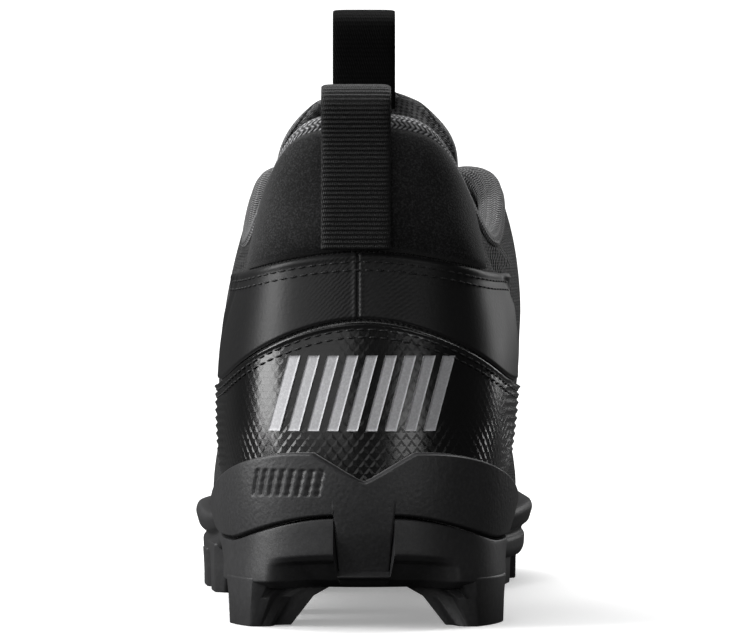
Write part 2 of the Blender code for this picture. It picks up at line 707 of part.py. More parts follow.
def make_cradle(material):
    """Rubber wrap round the heel, outside the counter, with a spine down to the plate."""
    inner = [0.0, 0.1, 0.2, SPINE_EDGE - 0.02, SPINE_EDGE + 0.08, 0.48, 0.6, 0.72, 0.85]
    half = np.array(inner + list(np.arange(1.0, 4.21, 0.32)))
    around = both_sides(half)
    low = up_at_height(around, cradle_foot(around))
    high = up_at_height(around, cradle_top(around))
    high = np.maximum(high, low + 0.03)
    lift = TRIM_LIFT + TRIM_DEPTH + GAP
    return overlay("heel_cradle", around, low, high, 5, lift, CRADLE_DEPTH, material, 0.55, True)


def make_eyestay(material):
    """U-shaped overlay round the throat."""
    around = np.linspace(6.0, AROUND - 6.0, 37)
    low = up_at_length(around, EYESTAY_WIDTH, True)
    high = up_at_length(around, EYESTAY_MARGIN, True)
    return overlay("eyestay", around, low, high, 4, TRIM_LIFT, TRIM_DEPTH, material)


def make_toe_cap(material):
    around = np.linspace(10.0, AROUND - 10.0, 21)
    ends = np.sin(math.pi * np.linspace(0, 1, len(around))) ** 0.7
    low = up_at_height(around, flange_top(around) + 3 * GAP)
    high = up_at_length(around, FLANGE_HEIGHT + 6 * MM + TOE_CAP_REACH * ends, False)
    high = np.maximum(high, low + 0.05)
    return overlay("toe_cap", around, low, high, 7, TRIM_LIFT, TRIM_DEPTH, material)


def tongue_grid():
    """Front face of the tongue: under both sides of the throat, then free above the collar."""
    across = np.linspace(-1, 1, 13)
    rows = []
    for place in np.linspace(10.1, 5.3, 8):
        sides = []
        for around in (place, AROUND - place):
            held = TONGUE_TUCK * (1 - 0.5 * smoothstep((6.4 - place) / 1.0))
            tuck = up_at_length(around, held, True)[0]
            half = up_at_length(around, held / 2, True)[0]
            points = []
            for up in (tuck, half, 1.0):
                depth = float(wall_at(around, up)) + TONGUE_GAP
                points.append(lifted(np.array(around), np.array(up), -depth))
            sides.append(points)
        lateral, medial = sides
        crest = (lateral[2] + medial[2]) / 2 + np.array([0, 0, TONGUE_CROWN])
        line = np.array(lateral + [crest] + medial[::-1])
        run = np.concatenate([[0], np.cumsum(np.linalg.norm(np.diff(line, axis=0), axis=1))])
        rows.append(open_spline(run, line, (across + 1) / 2 * run[-1]))
    collar = rows[-1][6]
    for row in TONGUE_TOP_ROWS:
        height = collar[2] + row.rise * (TONGUE_TOP - collar[2])
        x = TONGUE_SHIFT + row.half * COLLAR_WIDTH / 2 * across
        y = collar[1] - row.lean * MM - row.curl * MM * across ** 2
        z = height - row.drop * MM * across ** 2
        rows.append(np.column_stack([x, y, z]))
    return np.array(rows)


def grid_normal(grid):
    """Unit normals of a grid of points."""
    along = np.gradient(grid, axis=0)
    across = np.gradient(grid, axis=1)
    normal = np.cross(across, along)
    return normal / np.linalg.norm(normal, axis=-1, keepdims=True)


def make_tongue(material):
    front = tongue_grid()
    rows, columns = front.shape[:2]
    normal = grid_normal(front)
    toward_foot = np.where(normal[..., 2:3] > 0, -normal, normal)
    ends = np.minimum(np.arange(rows), np.arange(rows)[::-1])
    sides = np.minimum(np.arange(columns), np.arange(columns)[::-1])
    thin = np.minimum(ends[:, None], sides[None, :])
    depth = TONGUE_THICKNESS * np.where(thin == 0, 0.45, np.where(thin == 1, 0.85, 1.0))
    back = front + depth[..., None] * toward_foot
    return sheet_solid("tongue", front, back, material, 60)


def strap(name, path, width, centre, material):
    """Webbing along a path in the plane of symmetry: four columns wide, one webbing thick."""
    path = np.array(path)
    step = np.gradient(path, axis=0)
    size = np.linalg.norm(step, axis=1, keepdims=True)
    side = np.column_stack([-step[:, 1], step[:, 0]]) / size
    grids = []
    for offset in (-WEBBING / 2, WEBBING / 2):
        line = path + offset * side
        columns = []
        for share in (-0.5, -0.17, 0.17, 0.5):
            x = np.full(len(line), centre + share * width)
            columns.append(np.column_stack([x, line[:, 0], line[:, 1]]))
        grids.append(np.stack(columns, axis=1))
    return sheet_solid(name, grids[0], grids[1], material)


def rear_line(height, lift):
    """How far back the upper's outer face lies behind the heel at a height, plus a lift."""
    up = up_at_height(0.0, height)
    return lifted(np.zeros(1), up, lift)[0, 1]


def make_heel_loop(material):
    """Loop from the pad's foot over the collar's top and down its inner side."""
    outside = TRIM_LIFT + PAD_DEPTH + GAP + WEBBING / 2
    path = []
    for height in np.linspace(HEEL_LOOP_FOOT, COLLAR_HEIGHT - 3 * MM, 5):
        path.append((rear_line(height, outside), height))
    inner = lifted(np.zeros(1), np.ones(1), -COLLAR_PADDING - LOOP_CLEAR - WEBBING / 2)[0, 1]
    radius = (inner - path[-1][0]) / 2
    middle = path[-1][0] + radius
    centre = HEEL_LOOP_TOP - radius - WEBBING / 2
    for angle in np.linspace(0, math.pi, 9):
        path.append((middle - radius * math.cos(angle), centre + radius * math.sin(angle)))
    path.append((inner, COLLAR_HEIGHT - 2 * MM))
    path.append((inner + 0.4 * MM, COLLAR_HEIGHT - LOOP_TAIL))
    return strap("heel_loop", path, HEEL_LOOP_WIDTH, HEEL_LOOP_OFFSET, material)


def make_tongue_loop(material):
    """Loop standing over the tongue's top, one leg on each of its faces."""
    grid = tongue_grid()
    middle = grid[:, grid.shape[1] // 2]
    front_foot = float(np.interp(TONGUE_LOOP_FOOT, middle[:, 2], middle[:, 1]))
    top = middle[-1, 1]
    front = front_foot + GAP + WEBBING
    back = top - TONGUE_THICKNESS - 2.4 * MM
    radius = (front - back) / 2
    centre = TONGUE_LOOP_TOP - radius - WEBBING / 2
    path = [(front, TONGUE_LOOP_FOOT), (front, TONGUE_TOP), (front, centre - LOOP_STRAIGHT)]
    for angle in np.linspace(0, math.pi, 9):
        path.append((front - radius + radius * math.cos(angle), centre + radius * math.sin(angle)))
    path += [(back, centre - LOOP_STRAIGHT), (back, TONGUE_TOP - 2 * MM), (back, TONGUE_TOP - LOOP_STRAIGHT)]
    return strap("tongue_loop", path, TONGUE_LOOP_WIDTH, 0.0, material)


def eyelet_places():
    """Places of the eyelets around the throat, from its foot to its top, counted in ribs."""
    return np.linspace(9.6, 6.35, LACE_ROWS)


def lace_strand(name, start, end, crown, material):
    """Flat strand from one eyelet over the tongue to another."""
    lift = TRIM_LIFT + TRIM_DEPTH + GAP + LACE_THICKNESS
    points = []
    for around in (start, end):
        seat = up_at_length(around, EYESTAY_WIDTH * EYELET_SEAT, True)[0]
        edge = up_at_length(around, EYESTAY_MARGIN, True)[0]
        points.append([lifted(np.array(around), np.array(up), lift) for up in (seat, edge)])
    middle = (points[0][1] + points[1][1]) / 2 + np.array([0, 0, crown])
    line = np.array([points[0][0], points[0][1], middle, points[1][1], points[1][0]])
    run = np.concatenate([[0], np.cumsum(np.linalg.norm(np.diff(line, axis=0), axis=1))])
    path = open_spline(run, line, np.linspace(0, run[-1], 5))
    step = np.gradient(path, axis=0)
    step /= np.linalg.norm(step, axis=1, keepdims=True)
    slope = upper_normal(np.array(start), np.array(1.0)) + upper_normal(np.array(end), np.array(1.0))
    slope /= np.linalg.norm(slope)
    side = np.cross(step, slope)
    side /= np.linalg.norm(side, axis=1, keepdims=True)
    rise = np.cross(side, step)
    grids = []
    for level in (0.5, -0.5):
        columns = [path + share * LACE_WIDTH * side + level * LACE_THICKNESS * rise for share in (-0.5, 0.5)]
        grids.append(np.stack(columns, axis=1))
    return sheet_solid(name, grids[0], grids[1], material)


def make_lace(material):
    """A bar at the foot of the throat, then pairs of crossings up to the top eyelets."""
    places = eyelet_places()
    crown = TONGUE_CROWN + LACE_THICKNESS + 1.2 * MM
    bar = lace_strand("bar", places[0], AROUND - places[0], crown, material)
    strands = []
    for row in range(LACE_ROWS - 1):
        low, high = places[row], places[row + 1]
        strands.append(lace_strand("strand", low, AROUND - high, crown, material))
        strands.append(lace_strand("strand", AROUND - low, high, crown + 0.02 * MM, material))
    return fuse("lace", bar, strands)


def centre_on_floor(items):
    """Shift the whole shoe so that its box stands on z = 0 with its middle at x = y = 0."""
    low = np.full(3, np.inf)
    high = np.full(3, -np.inf)
    for item in items:
        points = np.array([vertex.co[:] for vertex in item.data.vertices])
        low = np.minimum(low, points.min(axis=0))
        high = np.maximum(high, points.max(axis=0))
    shift = np.array([(low[0] + high[0]) / 2, (low[1] + high[1]) / 2, low[2]])
    for item in items:
        for vertex in item.data.vertices:
            vertex.co = vertex.co - Vector(shift)


def main():
    clear_scene()
    rubber = make_material("sole_rubber", (0.018, 0.018, 0.019), 0.55)
    cradle_rubber = make_material("cradle_rubber", (0.022, 0.022, 0.023), 0.5)
    mesh_fabric = make_material("mesh_fabric", (0.014, 0.014, 0.015), 0.8)
    gloss = make_material("gloss_overlay", (0.012, 0.012, 0.013), 0.2)
    smooth_leather = make_material("smooth_leather", (0.016, 0.016, 0.017), 0.4)
    suede = make_material("collar_suede", (0.02, 0.02, 0.021), 0.9)
    lining = make_material("tongue_fabric", (0.018, 0.018, 0.019), 0.85)
    webbing = make_material("webbing", (0.012, 0.012, 0.013), 0.65)
    cord = make_material("lace_fabric", (0.013, 0.013, 0.014), 0.75)
    foam = make_material("insole_fabric", (0.03, 0.03, 0.032), 0.85)
    items = [
        make_outsole(rubber),
        make_upper(mesh_fabric),
        make_tongue(lining),
        make_insole(foam),
        make_counter(gloss),
        make_band(smooth_leather),
        make_pad(suede),
        make_cradle(cradle_rubber),
        make_eyestay(gloss),
        make_toe_cap(gloss),
        make_heel_loop(webbing),
        make_tongue_loop(webbing),
        make_lace(cord),
    ]
    centre_on_floor(items)


main()
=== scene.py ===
import math
import bpy
import numpy as np
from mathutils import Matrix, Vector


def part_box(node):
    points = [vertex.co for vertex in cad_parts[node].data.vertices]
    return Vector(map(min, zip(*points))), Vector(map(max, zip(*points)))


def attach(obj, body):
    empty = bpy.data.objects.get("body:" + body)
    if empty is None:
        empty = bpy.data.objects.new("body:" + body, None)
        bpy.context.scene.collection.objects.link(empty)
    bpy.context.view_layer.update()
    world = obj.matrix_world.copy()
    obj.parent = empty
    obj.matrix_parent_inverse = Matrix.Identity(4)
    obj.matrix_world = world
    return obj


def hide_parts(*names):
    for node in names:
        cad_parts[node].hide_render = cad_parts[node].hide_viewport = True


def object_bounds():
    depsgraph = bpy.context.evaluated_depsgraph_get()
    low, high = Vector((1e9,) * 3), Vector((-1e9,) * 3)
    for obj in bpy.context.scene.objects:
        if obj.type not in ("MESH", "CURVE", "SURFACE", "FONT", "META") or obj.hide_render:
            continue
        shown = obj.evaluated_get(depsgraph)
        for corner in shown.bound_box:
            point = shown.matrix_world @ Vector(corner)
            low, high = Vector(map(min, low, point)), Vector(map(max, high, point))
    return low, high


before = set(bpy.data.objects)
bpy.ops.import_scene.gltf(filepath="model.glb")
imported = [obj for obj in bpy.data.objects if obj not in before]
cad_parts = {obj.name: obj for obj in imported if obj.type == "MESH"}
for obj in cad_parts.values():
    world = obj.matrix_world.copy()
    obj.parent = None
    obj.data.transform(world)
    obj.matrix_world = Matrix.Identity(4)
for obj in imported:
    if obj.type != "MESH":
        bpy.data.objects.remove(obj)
startBox = [list(corner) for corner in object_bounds()]
mm = 0.001


def placeObject(name, data):
    made = bpy.data.objects.new(name, data)
    bpy.context.scene.collection.objects.link(made)
    return made


# Camera straight behind the heel, level, as in the photograph
view = {"behind": 1.05, "height": 0.083, "lens": 188.0, "shiftUp": 0.0144, "far": 50.0}
camera = placeObject("camera", bpy.data.cameras.new("camera"))
camera.location = (0.0, startBox[0][1] - view["behind"], view["height"])
camera.rotation_euler = (math.radians(90), 0.0, 0.0)
camera.data.lens = view["lens"]
camera.data.shift_y = view["shiftUp"]
camera.data.clip_end = view["far"]
bpy.context.scene.camera = camera
bpy.context.scene.view_settings.view_transform = "Standard"

# The last's sizes, as in the part's source: the outline at the sole, the collar, and the layers on it
last = {
    "length": 302 * mm, "ball": 95 * mm, "heel": 67.5 * mm, "collarWidth": 74 * mm,
    "collarHeight": 140.5 * mm, "instep": 70 * mm, "gap": 0.3 * mm, "trimLift": 0.5 * mm,
    "wall": 2.4 * mm, "padding": 6 * mm, "crest": 2.2 * mm,
    "stud": 9 * mm, "plate": 5 * mm, "flange": 12 * mm, "margin": 7 * mm, "step": 1.4 * mm, "lip": 5.8 * mm,
}
# Ribs of the upper from heel to toe: along, lateral, medial, edgeAlong, edgeLateral, edgeMedial, edgeRise,
# lowOut, lowUp, highOut, highDown, medialGain
ribs = np.array([
    (0.023, 0.0, 0.0, 0.053, 0.0, 0.0, 1.0, 0.15, 0.30, 0.06, 0.38, 1.0),
    (0.041, 0.62, 0.62, 0.058, 0.41, 0.41, 0.978, 0.15, 0.30, 0.07, 0.38, 1.0),
    (0.093, 0.905, 0.92, 0.0895, 0.66, 0.69, 0.83, 0.19, 0.30, 0.19, 0.38, 1.0),
    (0.172, 1.01, 1.0, 0.1655, 0.90, 0.98, 0.555, 0.21, 0.32, 0.17, 0.30, 1.05),
    (0.265, 1.06, 0.97, 0.258, 0.90, 1.09, 0.70, 0.25, 0.33, 0.22, 0.28, 1.10),
    (0.325, 1.03, 0.88, 0.322, 0.775, 0.98, 0.84, 0.29, 0.30, 0.27, 0.26, 1.16),
    (0.371, 1.005, 0.82, 0.358, 0.53, 0.59, 0.81, 0.32, 0.29, 0.48, 0.22, 1.14),
    (0.437, 0.975, 0.77, 0.42, 0.45, 0.46, 0.61, 0.29, 0.30, 0.55, 0.14, 1.16),
    (0.55, 0.955, 0.82, 0.53, 0.40, 0.40, 0.303, 0.21, 0.34, 0.60, 0.08, 1.15),
    (0.69, 1.0, 0.985, 0.63, 0.31, 0.31, 0.075, 0.15, 0.40, 0.66, 0.05, 1.15),
    (0.828, 0.875, 0.965, 0.66, 0.16, 0.16, 0.012, 0.12, 0.46, 0.80, 0.02, 1.05),
    (0.94, 0.45, 0.665, 0.668, 0.065, 0.065, 0.002, 0.10, 0.50, 1.05, 0.02, 1.0),
    (0.98, -0.15, 0.15, 0.67, 0.0, 0.0, 0.0, 0.10, 0.50, 1.15, 0.02, 1.0),
])
# Rib numbers: the toe's, and the count of one lap round the shoe
toe = len(ribs) - 1
lap = 2 * toe
# Side view of the sole: along, clearance in stud heights, plate and side wall in their own thicknesses
profile = np.array([
    (0.0, 1.20, 1.34, 0.52), (0.13, 1.20, 1.34, 0.50), (0.26, 1.38, 1.30, 0.48), (0.41, 1.85, 0.90, 0.42),
    (0.55, 1.15, 0.95, 0.80), (0.69, 0.95, 1.00, 1.10), (0.83, 1.10, 1.00, 1.12), (0.93, 1.65, 1.00, 1.25),
    (1.0, 2.30, 1.00, 1.15),
])


# Soft step from 0 to 1
def smooth(value):
    value = np.clip(value, 0.0, 1.0)
    return value * value * (3 - 2 * value)


def unit(vectors):
    return vectors / np.linalg.norm(vectors, axis=-1, keepdims=True)


# Length run along a line of points, from zero at its first
def runAlong(line):
    return np.concatenate([[0], np.cumsum(np.linalg.norm(np.diff(line, axis=0), axis=1))])


# Columns of a table read at places along a run, by straight steps
def readAlong(places, run, table):
    return np.stack([np.interp(places, run, column) for column in table.T], axis=-1)


# Second derivatives of the closed cubic spline through evenly spaced rows
def closedBends(values):
    count = len(values)
    system = 4 * np.eye(count) + np.roll(np.eye(count), 1, 0) + np.roll(np.eye(count), -1, 0)
    return np.linalg.solve(system, 6 * (np.roll(values, 1, 0) - 2 * values + np.roll(values, -1, 0)))


# Closed cubic spline: the straight line between two rows plus a cubic share of their second derivatives
def closedAt(values, bends, at):
    start = np.floor(at).astype(int)
    part = (at - start)[..., None]
    low = start % len(values)
    high = (start + 1) % len(values)
    rest = 1 - part
    line = rest * values[low] + part * values[high]
    return line + ((rest ** 3 - rest) * bends[low] + (part ** 3 - part) * bends[high]) / 6


# Natural cubic spline through values at rising knots
def openCurve(knots, values, at):
    count = len(knots)
    step = np.diff(knots)
    inner = np.arange(1, count - 1)
    system = np.eye(count)
    system[inner, inner - 1] = step[:-1]
    system[inner, inner] = 2 * (step[:-1] + step[1:])
    system[inner, inner + 1] = step[1:]
    slope = np.diff(values, axis=0) / step[:, None]
    right = np.zeros(values.shape)
    right[1:-1] = 6 * np.diff(slope, axis=0)
    bends = np.linalg.solve(system, right)
    cell = np.clip(np.searchsorted(knots, at, side="right") - 1, 0, count - 2)
    width = step[cell][:, None]
    part = (at[:, None] - knots[cell][:, None]) / width
    rest = 1 - part
    line = rest * values[cell] + part * values[cell + 1]
    return line + width ** 2 * ((rest ** 3 - rest) * bends[cell] + (part ** 3 - part) * bends[cell + 1]) / 6


# Heights of the sole's underside, its bed and its side wall's top: a spline over the length
def soleLevels(y):
    y = np.asarray(y, dtype=float)
    knots = profile[:, 0] * last["length"]
    sizes = profile[:, 1:] * (last["stud"], last["plate"], last["flange"])
    read = openCurve(knots, sizes, np.clip(y.ravel(), knots[0], knots[-1]))
    under = read[:, 0]
    bed = under + read[:, 1]
    return under.reshape(y.shape), bed.reshape(y.shape), (bed + read[:, 2]).reshape(y.shape)


# One row a rib: foot, top edge, and its two handles, lateral ribs first and medial ones on the way back
def ribTable():
    order = np.concatenate([np.arange(toe + 1), np.arange(toe - 1, 0, -1)])
    (along, footLateral, footMedial, edgeAlong, edgeLateral, edgeMedial, edgeRise, lowOut, lowUp, highOut,
     highDown, medialGain) = ribs[order].T
    lateral = np.arange(lap) <= toe
    side = np.where(lateral, -1, 1)
    foot = np.where(lateral, footLateral, footMedial)
    edge = np.where(lateral, edgeLateral, edgeMedial)
    lean = np.where(lateral, 1.0, medialGain) * last["ball"] / 2
    half = 0.5 * (last["heel"] + (last["ball"] - last["heel"]) * smooth((along - 0.25) / 0.4))
    height = last["instep"] + edgeRise * (last["collarHeight"] - last["instep"])
    rise = height - soleLevels(along * last["length"])[1] - last["gap"]
    return np.column_stack([
        side * foot * half, along * last["length"], side * edge * last["collarWidth"] / 2,
        edgeAlong * last["length"], height, lowOut * lean, lowUp * rise, highOut * lean, highDown * rise,
    ])


ribRows = ribTable()
ribBends = closedBends(ribRows)


# Direction straight out of the outline in plan
def outlineOut(around, reach=0.02):
    step = closedAt(ribRows, ribBends, around + reach) - closedAt(ribRows, ribBends, around - reach)
    size = np.hypot(step[..., 0], step[..., 1])
    return np.stack([-step[..., 1] / size, step[..., 0] / size], axis=-1)


# Point on the upper: around counts ribs, up runs from sole to edge; each rib is a cubic with two handles
def upperFace(around, up):
    around, up = np.broadcast_arrays(np.asarray(around, dtype=float), np.asarray(up, dtype=float))
    row = closedAt(ribRows, ribBends, around)
    out = np.concatenate([outlineOut(around), np.zeros(around.shape + (1,))], axis=-1)
    rise = np.array([0.0, 0.0, 1.0])
    foot = np.stack([row[..., 0], row[..., 1], soleLevels(row[..., 1])[1] + last["gap"]], axis=-1)
    edge = row[..., 2:5]
    low = foot + row[..., 5:6] * out + row[..., 6:7] * rise
    high = edge + row[..., 7:8] * out - row[..., 8:9] * rise
    t = up[..., None]
    s = 1 - t
    return s ** 3 * foot + 3 * s * s * t * low + 3 * s * t * t * high + t ** 3 * edge


# Unit normal of the upper, as the cross product of its two slopes
def upperNormal(around, up, reach=0.01):
    around, up = np.broadcast_arrays(np.asarray(around, dtype=float), np.asarray(up, dtype=float))
    across = upperFace(around + reach, up) - upperFace(around - reach, up)
    along = upperFace(around, up + reach) - upperFace(around, up - reach)
    return unit(np.cross(along, across))


# Soft creases of the worn-in shape: from, to (around, up), half width, depth in millimetres;
# a negative depth is a ridge
creases = [
    (2.75, 0.93, 3.35, 0.76, 2.2, 0.9), (2.95, 0.99, 3.6, 0.84, 2.0, -0.7), (2.6, 0.84, 3.2, 0.68, 2.4, 0.6),
    (21.35, 0.92, 20.6, 0.76, 2.2, 0.9), (21.1, 0.98, 20.4, 0.86, 2.0, -0.7),
    (3.9, 0.62, 5.6, 0.50, 5.0, 0.8), (4.1, 0.46, 5.9, 0.38, 6.0, 0.6), (4.0, 0.55, 5.7, 0.44, 4.0, -0.5),
    (20.1, 0.60, 18.4, 0.50, 5.0, 0.8), (19.9, 0.44, 18.1, 0.38, 6.0, 0.6),
    (9.2, 0.35, 9.7, 0.93, 4.0, 0.9), (9.75, 0.30, 10.3, 0.90, 4.5, 1.0), (9.5, 0.3, 10.0, 0.9, 3.5, -0.6),
    (14.8, 0.35, 14.3, 0.93, 4.0, 0.9), (14.25, 0.30, 13.7, 0.90, 4.5, 1.0),
    (14.5, 0.3, 14.0, 0.9, 3.5, -0.6),
]


# Each crease is a soft trough: its depth times a bell over the distance to the line between its two ends
def creaseLift(points):
    total = np.zeros(points.shape[:-1])
    for fromAround, fromUp, toAround, toUp, width, depth in creases:
        ends = upperFace(np.array([fromAround, toAround]), np.array([fromUp, toUp]))
        line = ends[1] - ends[0]
        share = np.clip(((points - ends[0]) @ line) / (line @ line), 0, 1)
        away = np.linalg.norm(points - ends[0] - share[..., None] * line, axis=-1)
        fade = smooth(share * 4) * smooth((1 - share) * 4)
        total -= depth * mm * (0.25 + 0.75 * fade) * np.exp(-(away / (width * mm)) ** 2)
    return total


# Point above the upper's face by a lift, along its normal or straight outward
def lifted(around, up, lift, level=False, creased=False):
    around, up = np.broadcast_arrays(np.asarray(around, dtype=float), np.asarray(up, dtype=float))
    normal = upperNormal(around, up)
    if level:
        normal[..., 2] = 0
        normal = unit(normal)
    face = upperFace(around, up)
    lift = np.broadcast_to(np.asarray(lift, dtype=float), around.shape)
    if creased:
        lift = lift + creaseLift(face)
    return face + lift[..., None] * normal


# Distance from the middle of the heel, in ribs
def heelDistance(around):
    return np.abs((np.asarray(around, dtype=float) + toe) % lap - toe)


# Thin below, padded towards the collar
def wallAt(around, up):
    collar = 1 - smooth((heelDistance(around) - 5.3) / 1.4)
    high = smooth((np.asarray(up, dtype=float) - 0.55) / 0.3)
    return last["wall"] + (last["padding"] - last["wall"]) * collar * high


ribSteps = np.linspace(0, 1, 241)


# Place on the rib where a rising measure reaches the wanted value, by straight steps between samples
def placeOnRib(measure, wanted):
    cell = np.clip((measure < wanted[:, None]).sum(axis=1) - 1, 0, len(ribSteps) - 2)
    row = np.arange(len(wanted))
    low = measure[row, cell]
    high = measure[row, cell + 1]
    part = np.clip((wanted - low) / np.maximum(high - low, 1e-9), 0, 1)
    return ribSteps[cell] + part * (ribSteps[cell + 1] - ribSteps[cell])


def upAtHeight(around, height):
    around = np.atleast_1d(np.asarray(around, dtype=float))
    points = upperFace(around[:, None], ribSteps[None, :])
    return placeOnRib(np.maximum.accumulate(points[..., 2], axis=1), np.broadcast_to(height, around.shape))


def upAtLength(around, length, fromEdge):
    around = np.atleast_1d(np.asarray(around, dtype=float))
    points = upperFace(around[:, None], ribSteps[None, :])
    run = gridLengths(points)[1]
    length = np.broadcast_to(length, around.shape)
    return placeOnRib(run, run[:, -1] - length if fromEdge else length)


# The source centres the shoe on its own box, so the shapes here move by the same amount
gridLines = upperFace(np.linspace(0, lap, 481)[:, None], np.linspace(0, 1, 61)[None, :])
upperLow = np.array(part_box("upper")[0])
shift = np.array([upperLow[0] - gridLines[..., 0].min(), upperLow[1] - gridLines[..., 1].min(), 0.0])
print("scene: shapes ready, shift in mm", np.round(shift / mm, 2))


# Quads of a grid, as vertex numbers and as (row, column) corners that don't wrap, for the pattern map
def gridFaces(rows, columns, loopRows=False, loopColumns=False):
    row, column = np.meshgrid(np.arange(rows if loopRows else rows - 1),
                              np.arange(columns if loopColumns else columns - 1), indexing="ij")
    corners = [(row, column), (row, column + 1), (row + 1, column + 1), (row + 1, column)]
    faces = np.stack([(a % rows) * columns + b % columns for a, b in corners], axis=-1).reshape(-1, 4)
    spots = np.stack([np.stack([a, b], axis=-1) for a, b in corners], axis=-2).reshape(-1, 4, 2)
    return faces, spots


# Whether quads face inward, by the volume that they close off round the middle of their points
def turnedIn(points, quads):
    corner = points[quads]
    twice = np.cross(corner[:, 1] - corner[:, 0], corner[:, 2] - corner[:, 0])
    twice += np.cross(corner[:, 2] - corner[:, 0], corner[:, 3] - corner[:, 0])
    return np.einsum("ij,ij->", twice, corner.mean(axis=1) - points.mean(axis=0)) < 0


# Mesh from points in the source's place, moved by the shift; faces that look inward are turned round
def meshPiece(name, points, faces, weave, materials, picks=None, caps=(), rim=None, sharp=None, inward=None):
    points = points.reshape(-1, 3) + shift
    caps = [list(cap) for cap in caps]
    if inward is None:
        inward = turnedIn(points, faces)
    if inward:
        faces = faces[:, ::-1]
        weave = weave[:, ::-1]
        caps = [cap[::-1] for cap in caps]
    mesh = bpy.data.meshes.new(name)
    mesh.from_pydata(points.tolist(), [], faces.tolist() + caps)
    layer = mesh.uv_layers.new(name="weave")
    spread = np.zeros((len(mesh.loops), 2))
    spread[:faces.size] = weave.reshape(-1, 2)
    layer.data.foreach_set("uv", spread.ravel())
    for material in materials:
        mesh.materials.append(material)
    if picks is not None:
        mesh.polygons.foreach_set("material_index", picks.astype(np.int32))
    if rim is not None:
        mesh.attributes.new("rim", "FLOAT", "POINT").data.foreach_set("value", rim.ravel().astype(np.float32))
    mesh.shade_smooth()
    if sharp:
        mesh.set_sharp_from_angle(angle=math.radians(sharp))
    piece = placeObject(name, mesh)
    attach(piece, "root")
    return piece


# Lengths run down the columns and along the rows of a grid, in metres
def gridLengths(grid):
    down = np.linalg.norm(np.diff(grid, axis=0), axis=2)
    over = np.linalg.norm(np.diff(grid, axis=1), axis=2)
    down = np.concatenate([np.zeros((1, grid.shape[1])), np.cumsum(down, axis=0)])
    over = np.concatenate([np.zeros((grid.shape[0], 1)), np.cumsum(over, axis=1)], axis=1)
    return down, over


# Map for woven patterns: the rows' mean length, zero at the middle column, and the length down each column
def patternMap(grid):
    down, over = gridLengths(grid)
    even = over.mean(axis=0)
    even = even - even[len(even) // 2]
    return np.stack([np.broadcast_to(even, down.shape), down], axis=-1)


# Distance to the nearest border of a grid, in metres
def borderDistance(grid):
    down, over = gridLengths(grid)
    return np.minimum(np.minimum(down, down[-1:] - down), np.minimum(over, over[:, -1:] - over))


# Quarter circle from 0 at the border to 1 at the radius
def roundOver(distance, radius):
    return np.sqrt(1 - (1 - np.clip(distance / radius, 0, 1)) ** 2)


# Places from 0 to 1, closer together at both ends
def endPacked(count, share=0.65):
    even = np.linspace(0, 1, count)
    return (1 - share) * even + share * (0.5 - 0.5 * np.cos(np.pi * even))


# Closed shell between two grids of one size
def shellPiece(name, front, back, material, rimWidth=1.0 * mm):
    rows, columns = front.shape[:2]
    total = rows * columns
    quads = gridFaces(rows, columns)[0]
    number = np.arange(total).reshape(rows, columns)
    border = np.concatenate([number[0], number[1:, -1], number[-1, -2::-1], number[-2:0:-1, 0]])
    after = np.roll(border, -1)
    sides = np.stack([border, border + total, after + total, after], axis=-1)
    flat = patternMap(front).reshape(-1, 2)
    faces = np.concatenate([quads, quads[:, ::-1] + total, sides[:, ::-1]])
    corners = np.concatenate([flat[quads], flat[quads[:, ::-1]], flat[sides[:, ::-1] % total]])
    # Rim: 1 at the border, fading over rimWidth, and 1 on the back face; it places the painted edge highlight
    rim = 1 - smooth(borderDistance(front) / rimWidth)
    rim = np.concatenate([rim.ravel(), np.ones(total)])
    points = np.concatenate([front.reshape(-1, 3), back.reshape(-1, 3)])
    return meshPiece(name, points, faces, corners, [material], rim=rim)


# Grid on the upper: up runs between two edges over each rib
def overlayGrid(around, low, high, rows):
    up = low[None, :] + (high - low)[None, :] * endPacked(rows)[:, None]
    return np.broadcast_to(around[None, :], up.shape), up


# Overlay on the upper: its depth rounds off towards the border, and a relief is added on top
def overlayPiece(name, around, up, look, material, relief=0.0):
    plain = lifted(around, up, last["trimLift"] + look["depth"])
    shape = roundOver(borderDistance(plain), look["radius"])
    lift = last["trimLift"] + look["depth"] * (0.12 + 0.88 * shape) + relief
    front = lifted(around, up, lift, creased=True)
    back = lifted(around, up, last["trimLift"], creased=True)
    return shellPiece(name, front, back, material)


# Rows of rings with each inner ring replaced by a short curve between points before and after it
def softened(rings, radius, steps=5):
    before = np.linalg.norm(rings[1:-1] - rings[:-2], axis=-1, keepdims=True)
    after = np.linalg.norm(rings[2:] - rings[1:-1], axis=-1, keepdims=True)
    first = rings[1:-1] + (rings[:-2] - rings[1:-1]) * np.minimum(radius / np.maximum(before, 1e-9), 0.48)
    second = rings[1:-1] + (rings[2:] - rings[1:-1]) * np.minimum(radius / np.maximum(after, 1e-9), 0.48)
    t = np.linspace(0, 1, steps)[None, :, None, None]
    curve = (1 - t) ** 2 * first[:, None] + 2 * t * (1 - t) * rings[1:-1, None] + t * t * second[:, None]
    return np.concatenate([rings[:1], curve.reshape(-1, *rings.shape[1:]), rings[-1:]])


# Solid through closed rings, its two ends closed by flat caps
def ringPiece(name, rings, material, sharp=None):
    rows, columns = rings.shape[:2]
    faces, spots = gridFaces(rows, columns, loopColumns=True)
    closed = np.concatenate([rings, rings[:, :1]], axis=1)
    weave = patternMap(closed)[spots[..., 0], spots[..., 1]]
    first = np.arange(columns)
    caps = [first[::-1], (rows - 1) * columns + first]
    return meshPiece(name, rings, faces, weave, [material], caps=caps, sharp=sharp)


webPitch = 1.25 * mm


